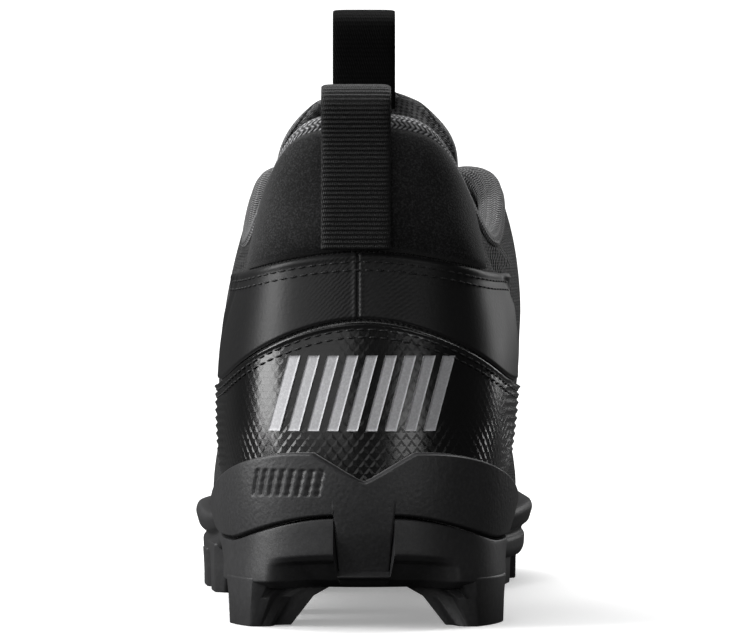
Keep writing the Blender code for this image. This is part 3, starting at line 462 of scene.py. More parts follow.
# Straps and ribbons: a closed oval section carried along a path, side gives its width direction
def ribbonPiece(name, path, side, rise, width, thick, material, around, wave=0.0):
    angle = np.linspace(0, 2 * np.pi, around, endpoint=False)
    across = np.sign(np.cos(angle)) * np.abs(np.cos(angle)) ** 0.35
    over = np.sign(np.sin(angle)) * np.abs(np.sin(angle)) ** 0.55
    run = runAlong(path)
    ribs = wave * (0.5 - 0.5 * np.cos(2 * np.pi * run / webPitch))[:, None, None]
    inside = smooth((1 - np.abs(across)) / 0.10)[None, :, None]
    height = (thick / 2 + ribs * inside - wave / 2) * over[None, :, None]
    points = path[:, None] + side[:, None] * (width / 2 * across)[None, :, None] + rise[:, None] * height
    faces, spots = gridFaces(len(path), around, loopColumns=True)
    u = np.append(across, across[0]) * width / 2
    weave = np.stack([u[spots[..., 1]], run[spots[..., 0]]], axis=-1)
    first = np.arange(around)
    caps = [first[::-1], (len(path) - 1) * around + first]
    return meshPiece(name, points, faces, weave, [material], caps=caps)


thread = {"length": 2.4 * mm, "gap": 0.7 * mm, "radius": 0.28 * mm, "arch": 0.1 * mm, "flat": 0.8,
          "rings": 5, "sides": 6}


# Short sewn stitches: one rounded peg for each length of thread, turned along the seam
def stitchPiece(name, lines, material):
    rings = thread["rings"]
    sides = thread["sides"]
    length = thread["length"]
    s = np.linspace(-1, 1, rings)
    radius = thread["radius"] * np.sqrt(np.clip(1 - np.abs(s) ** 3, 0.02, 1))[:, None]
    angle = np.arange(sides) * 2 * np.pi / sides
    peg = np.stack([
        np.broadcast_to(s[:, None] * length / 2, (rings, sides)),
        radius * np.cos(angle)[None, :],
        thread["flat"] * radius * np.sin(angle)[None, :] + thread["arch"] * (1 - s ** 2)[:, None],
    ], axis=-1).reshape(-1, 3)
    pegs = []
    for points, normals in lines:
        run = runAlong(points)
        middles = np.arange(length / 2, run[-1] - length / 2, length + thread["gap"])
        centre = readAlong(middles, run, points)
        along = unit(readAlong(middles + 0.5 * mm, run, points) - centre)
        side = unit(np.cross(readAlong(middles, run, normals), along))
        basis = np.stack([along, side, np.cross(along, side)], axis=1)
        pegs.append(centre[:, None] + np.einsum("pk,mkj->mpj", peg, basis))
    pegs = np.concatenate(pegs)
    quads, spots = gridFaces(rings, sides, loopColumns=True)
    start = (np.arange(len(pegs)) * rings * sides)[:, None, None]
    faces = (start + quads[None]).reshape(-1, 4)
    weave = np.broadcast_to(spots[None] * 0.3 * mm, (len(pegs),) + spots.shape).reshape(-1, 4, 2)
    first = np.arange(sides)
    caps = np.concatenate([start[:, 0] + first[::-1], start[:, 0] + (rings - 1) * sides + first])
    return meshPiece(name, pegs, faces, weave, [material], caps=caps, inward=turnedIn(peg, quads))


# Node with its options and its inputs, each a value or another node's socket
def addNode(tree, kind, inputs=None, **options):
    made = tree.nodes.new(kind)
    for key, value in options.items():
        setattr(made, key, value)
    for socket, value in (inputs or {}).items():
        if isinstance(value, bpy.types.NodeSocket):
            tree.links.new(value, made.inputs[socket])
        else:
            made.inputs[socket].default_value = value
    return made


def maths(tree, operation, first, second=0.0, clamp=False):
    made = addNode(tree, "ShaderNodeMath", {0: first, 1: second}, operation=operation, use_clamp=clamp)
    return made.outputs[0]


# Value moved from one span to another and held inside it
def spanned(tree, value, start, end, low, high):
    return addNode(tree, "ShaderNodeMapRange", {0: value, 1: start, 2: end, 3: low, 4: high}).outputs[0]


# Value weakened to a share of itself and raised by the rest
def eased(tree, value, share, rest):
    return maths(tree, "ADD", maths(tree, "MULTIPLY", value, share), rest)


def mixColour(tree, share, first, second):
    mix = addNode(tree, "ShaderNodeMix", {0: share, 6: first, 7: second}, data_type="RGBA")
    return mix.outputs[2]


def newGroup(name, inputs, outputs):
    group = bpy.data.node_groups.new(name, "ShaderNodeTree")
    for label, value in inputs.items():
        kind = "NodeSocketVector" if value is None else "NodeSocketFloat"
        socket = group.interface.new_socket(name=label, in_out="INPUT", socket_type=kind)
        if value is not None:
            socket.default_value = value
    for label in outputs:
        group.interface.new_socket(name=label, in_out="OUTPUT", socket_type="NodeSocketFloat")
    return group, addNode(group, "NodeGroupInput").outputs, addNode(group, "NodeGroupOutput").inputs


def useGroup(tree, group, inputs):
    return addNode(tree, "ShaderNodeGroup", inputs, node_tree=group).outputs


# Parallel ribs: half a sine wave across the map, turned by an angle and waved a little along the rib
def buildRibbing():
    inputs = {"Vector": None, "Pitch": 0.00125, "Turn": 0.0, "Wander": 0.0, "WanderPitch": 0.002}
    group, given, result = newGroup("ribbing", inputs, ["Height"])
    turned = addNode(group, "ShaderNodeVectorRotate", {"Vector": given["Vector"], "Angle": given["Turn"]},
                     rotation_type="Z_AXIS").outputs[0]
    parts = addNode(group, "ShaderNodeSeparateXYZ", {0: turned}).outputs
    swing = maths(group, "MULTIPLY", maths(group, "DIVIDE", parts["X"], given["WanderPitch"]), 2 * math.pi)
    swing = maths(group, "MULTIPLY", maths(group, "SINE", swing), given["Wander"])
    phase = maths(group, "ADD", maths(group, "DIVIDE", parts["Y"], given["Pitch"]), swing)
    wave = maths(group, "SINE", maths(group, "MULTIPLY", phase, 2 * math.pi))
    group.links.new(maths(group, "MULTIPLY", maths(group, "ADD", wave, 1.0), 0.5), result["Height"])
    return group


# Small raised triangles in offset rows: each tile's height falls with the distance from its middle line
def buildTriangles():
    inputs = {"Vector": None, "Wide": 0.0029, "Tall": 0.0019}
    group, given, result = newGroup("triangleTiles", inputs, ["Height"])
    parts = addNode(group, "ShaderNodeSeparateXYZ", {0: given["Vector"]}).outputs
    rows = maths(group, "DIVIDE", parts["Y"], given["Tall"])
    row = maths(group, "FLOOR", rows)
    rise = maths(group, "SUBTRACT", rows, row)
    offset = maths(group, "MULTIPLY", maths(group, "FLOORED_MODULO", row, 2.0), 0.5)
    columns = maths(group, "ADD", maths(group, "DIVIDE", parts["X"], given["Wide"]), offset)
    across = maths(group, "SUBTRACT", maths(group, "FRACT", columns), 0.5)
    away = maths(group, "MULTIPLY", maths(group, "ABSOLUTE", across), 2.0)
    inside = maths(group, "SUBTRACT", maths(group, "SUBTRACT", 1.0, rise), away)
    group.links.new(maths(group, "MULTIPLY", inside, 1.8, clamp=True), result["Height"])
    return group


# Uneven tone: coarse clouds times fine specks, both noise
def buildMottle():
    inputs = {"Vector": None, "Coarse": 60.0, "Fine": 900.0, "Specks": 0.5}
    group, given, result = newGroup("mottle", inputs, ["Tone", "Grain"])
    coarse = {"Vector": given["Vector"], "Scale": given["Coarse"], "Detail": 3.0}
    clouds = addNode(group, "ShaderNodeTexNoise", coarse).outputs[0]
    fine = {"Vector": given["Vector"], "Scale": given["Fine"], "Detail": 2.0, "Roughness": 0.6}
    specks = addNode(group, "ShaderNodeTexNoise", fine).outputs[0]
    sharp = maths(group, "MULTIPLY", spanned(group, specks, 0.42, 0.68, 0.0, 1.0), given["Specks"])
    soft = maths(group, "MULTIPLY", clouds, maths(group, "SUBTRACT", 1.0, given["Specks"]))
    group.links.new(maths(group, "ADD", sharp, soft, clamp=True), result["Tone"])
    group.links.new(specks, result["Grain"])
    return group


# Handled roughness: soft patches of more and less gloss
def buildSmudge():
    inputs = {"Vector": None, "Rough": 0.4, "Spread": 0.12, "Scale": 35.0}
    group, given, result = newGroup("smudge", inputs, ["Roughness"])
    noise = {"Vector": given["Vector"], "Scale": given["Scale"], "Detail": 4.0}
    patches = addNode(group, "ShaderNodeTexNoise", noise).outputs[0]
    moved = maths(group, "MULTIPLY", maths(group, "SUBTRACT", patches, 0.5), given["Spread"])
    total = maths(group, "ADD", given["Rough"], maths(group, "MULTIPLY", moved, 2.0), clamp=True)
    group.links.new(total, result["Roughness"])
    return group


ribbing = buildRibbing()
triangleTiles = buildTriangles()
mottle = buildMottle()
smudge = buildSmudge()


# Material with its constants set on the shader's own sockets, and the uneven tone that every finish uses
def newFinish(name, look, coarse, fine, specks):
    material = bpy.data.materials.new(name)
    material.use_nodes = True
    tree = material.node_tree
    sockets = tree.nodes["Principled BSDF"].inputs
    sockets["Specular IOR Level"].default_value = look.get("specular", 0.35)
    sockets["Sheen Weight"].default_value = look.get("sheen", 0.0)
    sockets["Sheen Roughness"].default_value = look.get("sheenRough", 0.5)
    sockets["Coat Weight"].default_value = look.get("coat", 0.0)
    sockets["Coat Roughness"].default_value = look.get("coatRough", 0.1)
    place = addNode(tree, "ShaderNodeTexCoord").outputs["Object"]
    tone = useGroup(tree, mottle, {"Vector": place, "Coarse": coarse, "Fine": fine, "Specks": specks})
    return material, place, tone


def weaveMap(material):
    return addNode(material.node_tree, "ShaderNodeUVMap", uv_map="weave").outputs[0]


def grey(value, tint=0.0):
    return (value, value, value * (1 + tint), 1.0)


# Colour from dark to light by shade, lightened at the rim; roughness by patches; relief from given heights
def dress(material, place, look, shade, heights):
    tree = material.node_tree
    sockets = tree.nodes["Principled BSDF"].inputs
    rim = addNode(tree, "ShaderNodeAttribute", attribute_name="rim").outputs["Fac"]
    colour = mixColour(tree, shade, grey(look["dark"], 0.03), grey(look["light"], 0.03))
    # Painted highlight: colour pulled towards the rim tone near each border, standing in for light caught on
    # edges
    edgeHighlight = maths(tree, "MULTIPLY", rim, look.get("rim", 0.0))
    colour = mixColour(tree, edgeHighlight, colour, grey(look.get("rimHighlightTone", 0.1)))
    tree.links.new(colour, sockets["Base Color"])
    patches = {"Vector": place, "Rough": look["rough"], "Spread": look["spread"], "Scale": 35.0}
    tree.links.new(useGroup(tree, smudge, patches)[0], sockets["Roughness"])
    normal = None
    for height, depth in heights:
        inputs = {"Height": height, "Distance": depth, "Strength": 1.0}
        if normal is not None:
            inputs["Normal"] = normal
        normal = addNode(tree, "ShaderNodeBump", inputs).outputs[0]
    tree.links.new(normal, sockets["Normal"])
    return material


# Ribs over the piece's own map, turned by degrees and waved by a share of their pitch over a length
def ribsOn(material, pitch, turn=0.0, wander=(0.0, 2 * mm)):
    inputs = {"Vector": weaveMap(material), "Pitch": pitch, "Turn": math.radians(turn), "Wander": wander[0],
              "WanderPitch": wander[1]}
    return useGroup(material.node_tree, ribbing, inputs)[0]


soleLook = {"dark": 0.026, "light": 0.064, "rough": 0.44, "spread": 0.10, "specular": 0.40,
            "grain": 0.06 * mm}


# Plain finish: tone and fine grain alone
def makePlain(name, look, coarse=90.0, fine=1600.0, specks=0.5):
    material, place, tone = newFinish(name, look, coarse, fine, specks)
    return dress(material, place, look, tone["Tone"], [(tone["Grain"], look["grain"])])


# Cradle rubber: its rim values give a strong painted highlight along the borders, for bright horn tips and
# edges
cradleLook = {"dark": 0.028, "light": 0.070, "rough": 0.44, "spread": 0.10, "specular": 0.45, "rim": 1.0,
              "rimHighlightTone": 0.34, "grain": 0.07 * mm, "coarseGrain": 0.07 * mm, "pebbles": 900.0}


def makeCradleRubber():
    material, place, tone = newFinish("cradleRubber", cradleLook, coarse=60.0, fine=1100.0, specks=0.35)
    cells = {"Vector": place, "Scale": cradleLook["pebbles"]}
    pebbles = addNode(material.node_tree, "ShaderNodeTexVoronoi", cells, feature="SMOOTH_F1").outputs[0]
    reliefs = [(pebbles, cradleLook["coarseGrain"]), (tone["Grain"], cradleLook["grain"])]
    return dress(material, place, cradleLook, tone["Tone"], reliefs)


meshLook = {"dark": 0.004, "light": 0.050, "rough": 0.58, "spread": 0.08, "sheen": 0.08, "pitch": 1.6 * mm,
            "turn": 96, "wander": (0.12, 3.2 * mm), "cross": 0.9 * mm, "depth": 0.80 * mm,
            "grain": 0.08 * mm}


def makeMeshFabric():
    material, place, tone = newFinish("meshFabric", meshLook, coarse=50.0, fine=800.0, specks=0.3)
    tree = material.node_tree
    ribs = ribsOn(material, meshLook["pitch"], meshLook["turn"], meshLook["wander"])
    cross = ribsOn(material, meshLook["cross"])
    both = maths(tree, "MULTIPLY", ribs, eased(tree, cross, 0.4, 0.6))
    shade = maths(tree, "MULTIPLY", both, maths(tree, "ADD", tone["Tone"], 0.45), clamp=True)
    reliefs = [(both, meshLook["depth"]), (tone["Grain"], meshLook["grain"])]
    return dress(material, place, meshLook, shade, reliefs)


# Gloss: its rim values give a strong painted highlight along the borders of the counter, eyestay and toe cap
glossLook = {"dark": 0.003, "light": 0.009, "rough": 0.24, "spread": 0.05, "coat": 0.3, "coatRough": 0.16,
             "specular": 0.5, "rim": 1.0, "rimHighlightTone": 0.32, "wide": 2.9 * mm, "tall": 1.9 * mm,
             "depth": 0.16 * mm, "grain": 0.02 * mm, "embossLow": 52 * mm, "embossHigh": 58 * mm}


# Gloss: the emboss has a share of the full depth, and is a quarter as deep above the counter's lower part
def makeGloss(name, emboss):
    material, place, tone = newFinish(name, glossLook, coarse=40.0, fine=1500.0, specks=0.2)
    tree = material.node_tree
    tile = {"Vector": weaveMap(material), "Wide": glossLook["wide"], "Tall": glossLook["tall"]}
    level = addNode(tree, "ShaderNodeSeparateXYZ", {0: place}).outputs[2]
    faded = spanned(tree, level, glossLook["embossHigh"], glossLook["embossLow"], 0.25, 1.0)
    pressed = maths(tree, "MULTIPLY", useGroup(tree, triangleTiles, tile)[0], faded)
    reliefs = [(pressed, glossLook["depth"] * emboss), (tone["Grain"], glossLook["grain"])]
    return dress(material, place, glossLook, tone["Tone"], reliefs)


# Leather: its rim values give a faint painted highlight along the band's borders
leatherLook = {"dark": 0.009, "light": 0.022, "rough": 0.42, "spread": 0.08, "rim": 0.2, "rimHighlightTone": 0.06,
               "pitch": 1.1 * mm, "turn": 40, "wander": (0.10, 2.3 * mm), "depth": 0.05 * mm,
               "grain": 0.05 * mm, "hatchReach": 19 * mm, "hatchFull": 4 * mm}


# Leather: faint slanted hatching near the middle of the heel
def makeLeather():
    material, place, tone = newFinish("smoothLeather", leatherLook, coarse=45.0, fine=900.0, specks=0.3)
    tree = material.node_tree
    hatch = ribsOn(material, leatherLook["pitch"], leatherLook["turn"], leatherLook["wander"])
    x = maths(tree, "ABSOLUTE", addNode(tree, "ShaderNodeSeparateXYZ", {0: place}).outputs[0])
    near = spanned(tree, x, leatherLook["hatchReach"], leatherLook["hatchFull"], 0.0, 1.0)
    faint = maths(tree, "MULTIPLY", hatch, near)
    shade = maths(tree, "MULTIPLY", tone["Tone"], eased(tree, faint, 0.25, 0.75))
    reliefs = [(faint, leatherLook["depth"]), (tone["Grain"], leatherLook["grain"])]
    return dress(material, place, leatherLook, shade, reliefs)


# Suede: its rim values give a painted highlight along the pad's borders, as wide as the pad's rim
suedeLook = {"dark": 0.003, "light": 0.075, "rough": 0.85, "spread": 0.06, "sheen": 0.15, "sheenRough": 0.4,
             "specular": 0.3, "nap": 0.22 * mm, "rim": 0.5, "rimHighlightTone": 0.07}


def makeSuede():
    material, place, tone = newFinish("collarSuede", suedeLook, coarse=55.0, fine=1900.0, specks=0.50)
    shade = maths(material.node_tree, "POWER", tone["Tone"], 1.8)
    return dress(material, place, suedeLook, shade, [(tone["Grain"], suedeLook["nap"])])


webLook = {"dark": 0.002, "light": 0.013, "rough": 0.50, "spread": 0.06, "specular": 0.30, "yarn": 0.5 * mm,
           "turn": 78, "depth": 0.10 * mm, "grain": 0.05 * mm}
# Darker copy of the webbing for the tongue loop: its colour is painted shade, for a strap lying in shadow
shadedWebLook = {**webLook, "dark": 0.001, "light": 0.004, "rough": 0.65, "specular": 0.05}


def makeWebbing(name, look):
    material, place, tone = newFinish(name, look, coarse=60.0, fine=1400.0, specks=0.3)
    tree = material.node_tree
    ribs = ribsOn(material, webPitch)
    yarn = ribsOn(material, look["yarn"], look["turn"])
    shade = maths(tree, "MULTIPLY", eased(tree, ribs, 0.7, 0.3), tone["Tone"])
    return dress(material, place, look, shade, [(yarn, look["depth"]), (tone["Grain"], look["grain"])])


# Lining: its lobe share and fade places darken it forward of the heel, painted shade on the lobes
liningLook = {"dark": 0.012, "light": 0.95, "rough": 0.65, "spread": 0.06, "sheen": 0.3, "pitch": 1.3 * mm,
              "depth": 0.45 * mm, "lobeShadeShare": 0.26, "fadeStart": -122 * mm, "fadeEnd": -100 * mm}


knit = {"turn": 90, "wander": (0.35, 2.4 * mm), "cross": 0.8, "grain": 0.06 * mm}


# Knits and weaves: zigzag loops crossed by finer ribs, and where a look says so, painted shade forward of the
# heel
def makeKnit(name, look):
    material, place, tone = newFinish(name, look, coarse=80.0, fine=900.0, specks=0.5)
    tree = material.node_tree
    zig = ribsOn(material, look["pitch"], knit["turn"], knit["wander"])
    cross = ribsOn(material, look["pitch"] * knit["cross"])
    loops = maths(tree, "MULTIPLY", zig, eased(tree, cross, 0.6, 0.4))
    shade = maths(tree, "MULTIPLY", loops, maths(tree, "ADD", tone["Tone"], 0.3), clamp=True)
    # Painted shade: the lining's colour falls to a share of itself forward of the heel, where the lobes lie
    # in shade
    if "lobeShadeShare" in look:
        along = addNode(tree, "ShaderNodeSeparateXYZ", {0: place}).outputs[1]
        share = spanned(tree, along, look["fadeStart"], look["fadeEnd"], 1.0, look["lobeShadeShare"])
        shade = maths(tree, "MULTIPLY", shade, share)
    return dress(material, place, look, shade, [(loops, look["depth"]), (tone["Grain"], knit["grain"])])


tongueLook = {"dark": 0.008, "light": 0.34, "rough": 0.70, "spread": 0.06, "sheen": 0.3, "pitch": 1.2 * mm,
              "depth": 0.45 * mm}
laceLook = {"dark": 0.010, "light": 0.035, "rough": 0.65, "spread": 0.06, "sheen": 0.2, "pitch": 0.8 * mm,
            "depth": 0.18 * mm}
insoleLook = {"dark": 0.020, "light": 0.050, "rough": 0.80, "spread": 0.05, "sheen": 0.3, "pitch": 0.9 * mm,
              "depth": 0.12 * mm}
threadLook = {"dark": 0.020, "light": 0.050, "rough": 0.50, "spread": 0.05, "pitch": 0.35 * mm,
              "depth": 0.08 * mm}
printLook = {"dark": 0.60, "light": 0.90, "rough": 0.45, "spread": 0.08, "grain": 0.04 * mm}
ringLook = {"dark": 0.012, "light": 0.020, "rough": 0.30, "spread": 0.08, "specular": 0.6, "grain": 0.03 * mm}


soleRubber = makePlain("soleRubber", soleLook, coarse=45.0, fine=700.0, specks=0.25)
cradleRubber = makeCradleRubber()
meshFabric = makeMeshFabric()
embossedGloss = makeGloss("embossedGloss", 1.0)
plainGloss = makeGloss("plainGloss", 0.0)
smoothLeather = makeLeather()
collarSuede = makeSuede()
webbing = makeWebbing("webbing", webLook)
shadedWebbing = makeWebbing("shadedWebbing", shadedWebLook)
liningKnit = makeKnit("liningKnit", liningLook)
tongueMesh = makeKnit("tongueMesh", tongueLook)
laceWeave = makeKnit("laceWeave", laceLook)
insoleCloth = makeKnit("insoleCloth", insoleLook)
sewingThread = makeKnit("sewingThread", threadLook)
paleInk = makePlain("paleInk", printLook)
eyeletPaint = makePlain("eyeletPaint", ringLook)
print("scene: finishes ready")


def bothSides(half):
    half = np.asarray(half, dtype=float)
    return np.concatenate([-half[:0:-1], half])


# Places across the heel, closest at its middle: a power of even steps
def heelLines(limit, count):
    return bothSides(limit * np.linspace(0, 1, count) ** 1.3)


# Section over the collar's edge, pushed out by a lift: outer face, a half turn over the wall, and inner face
def collarRows(around, outerUp, innerUp, turns, lift, creased=False):
    column = np.asarray(around)[None, :]
    outer = lifted(column, outerUp[:, None], lift, creased=creased)
    wall = wallAt(column, 1.0)
    angle = np.linspace(0, np.pi, turns + 2)[1:-1, None]
    rise = last["crest"] * wall / last["padding"]
    top = lifted(column, np.ones((turns, 1)), -wall / 2 + (wall / 2 + lift) * np.cos(angle))
    top[..., 2] += (rise + lift) * np.sin(angle)
    inner = lifted(column, innerUp[:, None], -wallAt(column, innerUp[:, None]) - lift)
    return outer, top, inner


upperLook = {"columns": 336, "outerRows": 112, "turns": 11, "innerRows": 56}


# Upper: outer face, rim and inner face joined into one closed skin, knit inside
def makeUpper():
    outerRows = upperLook["outerRows"]
    around = np.arange(upperLook["columns"]) * lap / upperLook["columns"]
    innerUp = np.linspace(1, 0, upperLook["innerRows"])
    outerUp = np.linspace(0, 1, outerRows)
    outer, top, inner = collarRows(around, outerUp, innerUp, upperLook["turns"], 0.0, creased=True)
    inner[-1, :, 2] = outer[0, :, 2]
    grid = np.concatenate([outer, top, inner])
    faces, spots = gridFaces(*grid.shape[:2], loopRows=True, loopColumns=True)
    wide = np.concatenate([grid, grid[:1]])
    wide = np.concatenate([wide, wide[:, :1]], axis=1)
    down, over = gridLengths(wide)
    even = over[:outerRows].mean(axis=0)
    weave = np.stack([even[spots[..., 1]], down[spots[..., 0], spots[..., 1]]], axis=-1)
    picks = (spots[:, 0, 0] >= outerRows).astype(int)
    piece = meshPiece("upper_shell", grid, faces, weave, [meshFabric, tongueMesh], picks=picks)
    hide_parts("upper")


liningStrip = {"limit": 6.2, "columns": 420, "lift": 0.42 * mm, "puff": 0.45 * mm, "under": 0.1 * mm,
               "edge": 0.05 * mm, "radius": 1.2 * mm, "outerUp": 0.972, "innerUp": 0.93}


# Knit edging over the collar: a thin shell along the section, thickest in its middle
def makeLining():
    around = np.linspace(-liningStrip["limit"], liningStrip["limit"], liningStrip["columns"])
    outerUp = np.linspace(liningStrip["outerUp"], 1, 6)
    innerUp = np.linspace(1, liningStrip["innerUp"], 10)
    over, under = [np.concatenate(collarRows(around, outerUp, innerUp, 9, lift, creased=True))
                   for lift in (liningStrip["lift"], liningStrip["under"])]
    shape = roundOver(borderDistance(over), liningStrip["radius"])[..., None]
    height = liningStrip["edge"] + (liningStrip["lift"] + liningStrip["puff"]) * shape
    piece = shellPiece("collar_lining", under + unit(over - under) * height, under, liningKnit)


heights = {"counterLow": 32 * mm, "counterTop": 85.5 * mm, "counterDrop": 17.25 * mm, "bandTop": 104.5 * mm,
           "bandDrop": 5 * mm, "padMargin": 1.0 * mm, "horn": 48.8 * mm, "hornOffset": 12 * mm,
           "notch": 41 * mm, "notchSoft": 0.8 * mm, "spineHalf": 6 * mm, "shoulder": 7 * mm,
           "wingDrop": 21 * mm, "spineFoot": 18.6 * mm}
depths = {"trim": 1.2 * mm, "band": 1.0 * mm, "pad": 3.6 * mm, "cradle": 4.0 * mm}
# Distances from the middle of the heel, in ribs
reaches = {"overlay": 3.3, "counterFall": 3.2, "bandFall": 2.6, "horn": 0.75, "wingStart": 0.7,
           "wingFall": 3.6, "cradle": 4.2, "shoulder": 1.7}
spineEdge = heights["spineHalf"] / (ribs[1, 1] * last["heel"] / 2)


def counterTop(around):
    fall = smooth(heelDistance(around) / reaches["counterFall"])
    return heights["counterTop"] - heights["counterDrop"] * fall


def bandTop(around):
    return heights["bandTop"] - heights["bandDrop"] * smooth(heelDistance(around) / reaches["bandFall"])


# Bell over the distance from a line
def bell(distance, width):
    return np.exp(-(distance / width) ** 2)


# Zigzag between 0 and 1 over a pitch
def zigzag(value, pitch):
    return np.abs(2 * ((value / pitch) % 1) - 1)


counterLook = {"columns": 150, "rows": 130, "depth": 0.9 * mm, "radius": 0.8 * mm, "toothPitch": 2.25 * mm,
               "tooth": 0.085, "teethLow": 41 * mm, "teethHigh": 71 * mm, "teethFade": 3 * mm,
               "ridge": 0.5 * mm, "ridgeStart": 2.35, "bead": 0.30 * mm, "beadDrop": 1.5 * mm,
               "beadWidth": 0.7 * mm}


# Counter: an overlay whose forward edges are saw-toothed, with ridges running back from the teeth
def makeCounter():
    s = bothSides(np.linspace(0, 1, counterLook["columns"]) ** 1.1)
    lines = reaches["overlay"] * s
    low = upAtHeight(lines, heights["counterLow"])
    high = upAtHeight(lines, counterTop(lines) - 2 * last["gap"])
    around, up = overlayGrid(lines, low, high, counterLook["rows"])
    height = upperFace(around, up)[..., 2]
    inZone = smooth((height - counterLook["teethLow"]) / counterLook["teethFade"])
    inZone *= smooth((counterLook["teethHigh"] - height) / counterLook["teethFade"])
    tooth = zigzag(height, counterLook["toothPitch"]) * inZone
    share = counterLook["tooth"] / reaches["overlay"]
    around = around * (1 - share * tooth * smooth((np.abs(s)[None, :] - 0.55) / 0.4))
    ridge = (1 - tooth) * inZone * smooth((np.abs(around) - counterLook["ridgeStart"]) / 0.7)
    bead = bell(height - (counterTop(around) - counterLook["beadDrop"]), counterLook["beadWidth"])
    relief = counterLook["ridge"] * ridge + counterLook["bead"] * bead
    piece = overlayPiece("counter_shell", around, up, counterLook, embossedGloss, relief)
    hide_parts("heel_counter")


bandLook = {"columns": 150, "rows": 60, "depth": 0.8 * mm, "radius": 0.8 * mm, "seamPlace": -1.6 * mm,
            "seamLip": 0.22 * mm, "lipPlace": 0.9 * mm, "lipWidth": 0.6 * mm, "seamGroove": 0.40 * mm,
            "grooveWidth": 0.35 * mm, "roll": 0.25 * mm, "rollDrop": 1.6 * mm, "rollWidth": 0.8 * mm}


# Band: an overlay with a butted seam at the middle of the heel and a rolled upper edge
def makeBand():
    lines = heelLines(reaches["overlay"], bandLook["columns"])
    low = upAtHeight(lines, counterTop(lines) + last["gap"])
    high = upAtHeight(lines, bandTop(lines) - last["gap"])
    around, up = overlayGrid(lines, low, high, bandLook["rows"])
    face = upperFace(around, up)
    x = face[..., 0] - bandLook["seamPlace"]
    relief = bandLook["seamLip"] * bell(np.abs(x) - bandLook["lipPlace"], bandLook["lipWidth"])
    relief -= bandLook["seamGroove"] * bell(x, bandLook["grooveWidth"])
    edge = face[..., 2] - (bandTop(around) - bandLook["rollDrop"])
    relief += bandLook["roll"] * bell(edge, bandLook["rollWidth"])
    piece = overlayPiece("band_shell", around, up, bandLook, smoothLeather, relief)
    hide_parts("heel_band")


padLook = {"reach": 2.36, "columns": 120, "rows": 110, "radius": 2.0 * mm, "rim": 2.5 * mm, "sag": 0.25 * mm,
           "waveAcross": 7 * mm, "waveUp": 9 * mm}


# Pad: thickest in its middle, 1 minus the fourth power of the distance across and up, with slow waves on top
def makePad():
    lines = heelLines(padLook["reach"], padLook["columns"])
    low = upAtHeight(lines, bandTop(lines) + last["gap"])
    high = np.maximum(upAtLength(lines, heights["padMargin"], True), low + 0.04)
    around, up = overlayGrid(lines, low, high, padLook["rows"])
    part = (up - low[None, :]) / (high - low)[None, :]
    shape = 0.25 + 0.75 * (1 - np.abs(around / padLook["reach"]) ** 4) * (1 - np.abs(2 * part - 1) ** 4)
    face = upperFace(around, up)
    waves = np.sin(face[..., 0] / padLook["waveAcross"] + 1.3) * np.sin(face[..., 2] / padLook["waveUp"])
    depth = depths["pad"] * shape
    rounded = roundOver(borderDistance(lifted(around, up, last["trimLift"] + depth)), padLook["radius"])
    lift = last["trimLift"] + (depth + padLook["sag"] * waves) * (0.1 + 0.9 * rounded)
    front = lifted(around, up, lift, creased=True)
    back = lifted(around, up, last["trimLift"], creased=True)
    piece = shellPiece("collar_cushion", front, back, collarSuede, rimWidth=padLook["rim"])
    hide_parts("collar_pad")


# Top of the cradle: a notch between two horns, then wings that fall away along the sides
def cradleTop(around):
    row = closedAt(ribRows, ribBends, around)
    x = np.sqrt(row[..., 0] ** 2 + heights["notchSoft"] ** 2) - heights["notchSoft"]
    place = heelDistance(around)
    notch = heights["notch"] + (heights["horn"] - heights["notch"]) * np.clip(x / heights["hornOffset"], 0, 1)
    fall = smooth((place - reaches["wingStart"]) / reaches["wingFall"])
    wing = heights["horn"] - heights["wingDrop"] * fall
    return np.where(place < reaches["horn"], np.minimum(notch, wing), wing)


# Top of the sole's side wall: raised beside the cradle's spine, and cut down under the spine itself
def flangeTop(around):
    y = closedAt(ribRows, ribBends, around)[..., 1]
    place = heelDistance(around)
    top = soleLevels(y)[2] + heights["shoulder"] * (1 - smooth((place - spineEdge) / reaches["shoulder"]))
    return np.where(place < spineEdge + 0.02, heights["spineFoot"] - 2 * last["gap"], top)


cradleLines = {"spine": 34, "wing": 210, "rows": 84, "radius": 0.9 * mm, "rim": 0.9 * mm, "swell": 0.35 * mm,
               "swellHigh": 30 * mm, "spineTuck": 3.0 * mm, "spineDrop": 4.5 * mm, "tuckTop": 27 * mm,
               "tuckFade": 9 * mm}
pressedBars = {"count": 8, "start": -41 * mm, "pitch": 2.9 * mm, "width": 1.1 * mm, "low": 36.5 * mm,
               "high": 44.5 * mm, "depth": 0.55 * mm, "slant": 0.2, "edge": 0.35 * mm, "ends": 0.8 * mm}


# Row of plain slanted bars: 1 inside a bar and 0 outside, by width across the heel and height
def barMask(across, height):
    rise = height - pressedBars["low"]
    bar = (across - pressedBars["start"] - pressedBars["slant"] * rise) / pressedBars["pitch"]
    number = np.floor(bar)
    off = np.abs(bar - number - 0.5) * pressedBars["pitch"]
    mask = smooth((pressedBars["width"] / 2 + 0.2 * mm - off) / pressedBars["edge"])
    mask *= (number >= 0) & (number < pressedBars["count"])
    mask *= smooth(rise / pressedBars["ends"])
    return mask * smooth((pressedBars["high"] - height) / pressedBars["ends"])


# Distance from each grid point to the nearest point of the grid's border
def nearBorder(grid):
    border = np.concatenate([grid[0], grid[-1], grid[:, 0], grid[:, -1]])
    rows = [np.sqrt(((row[:, None] - border[None]) ** 2).sum(-1)).min(1) for row in grid]
    return np.array(rows)


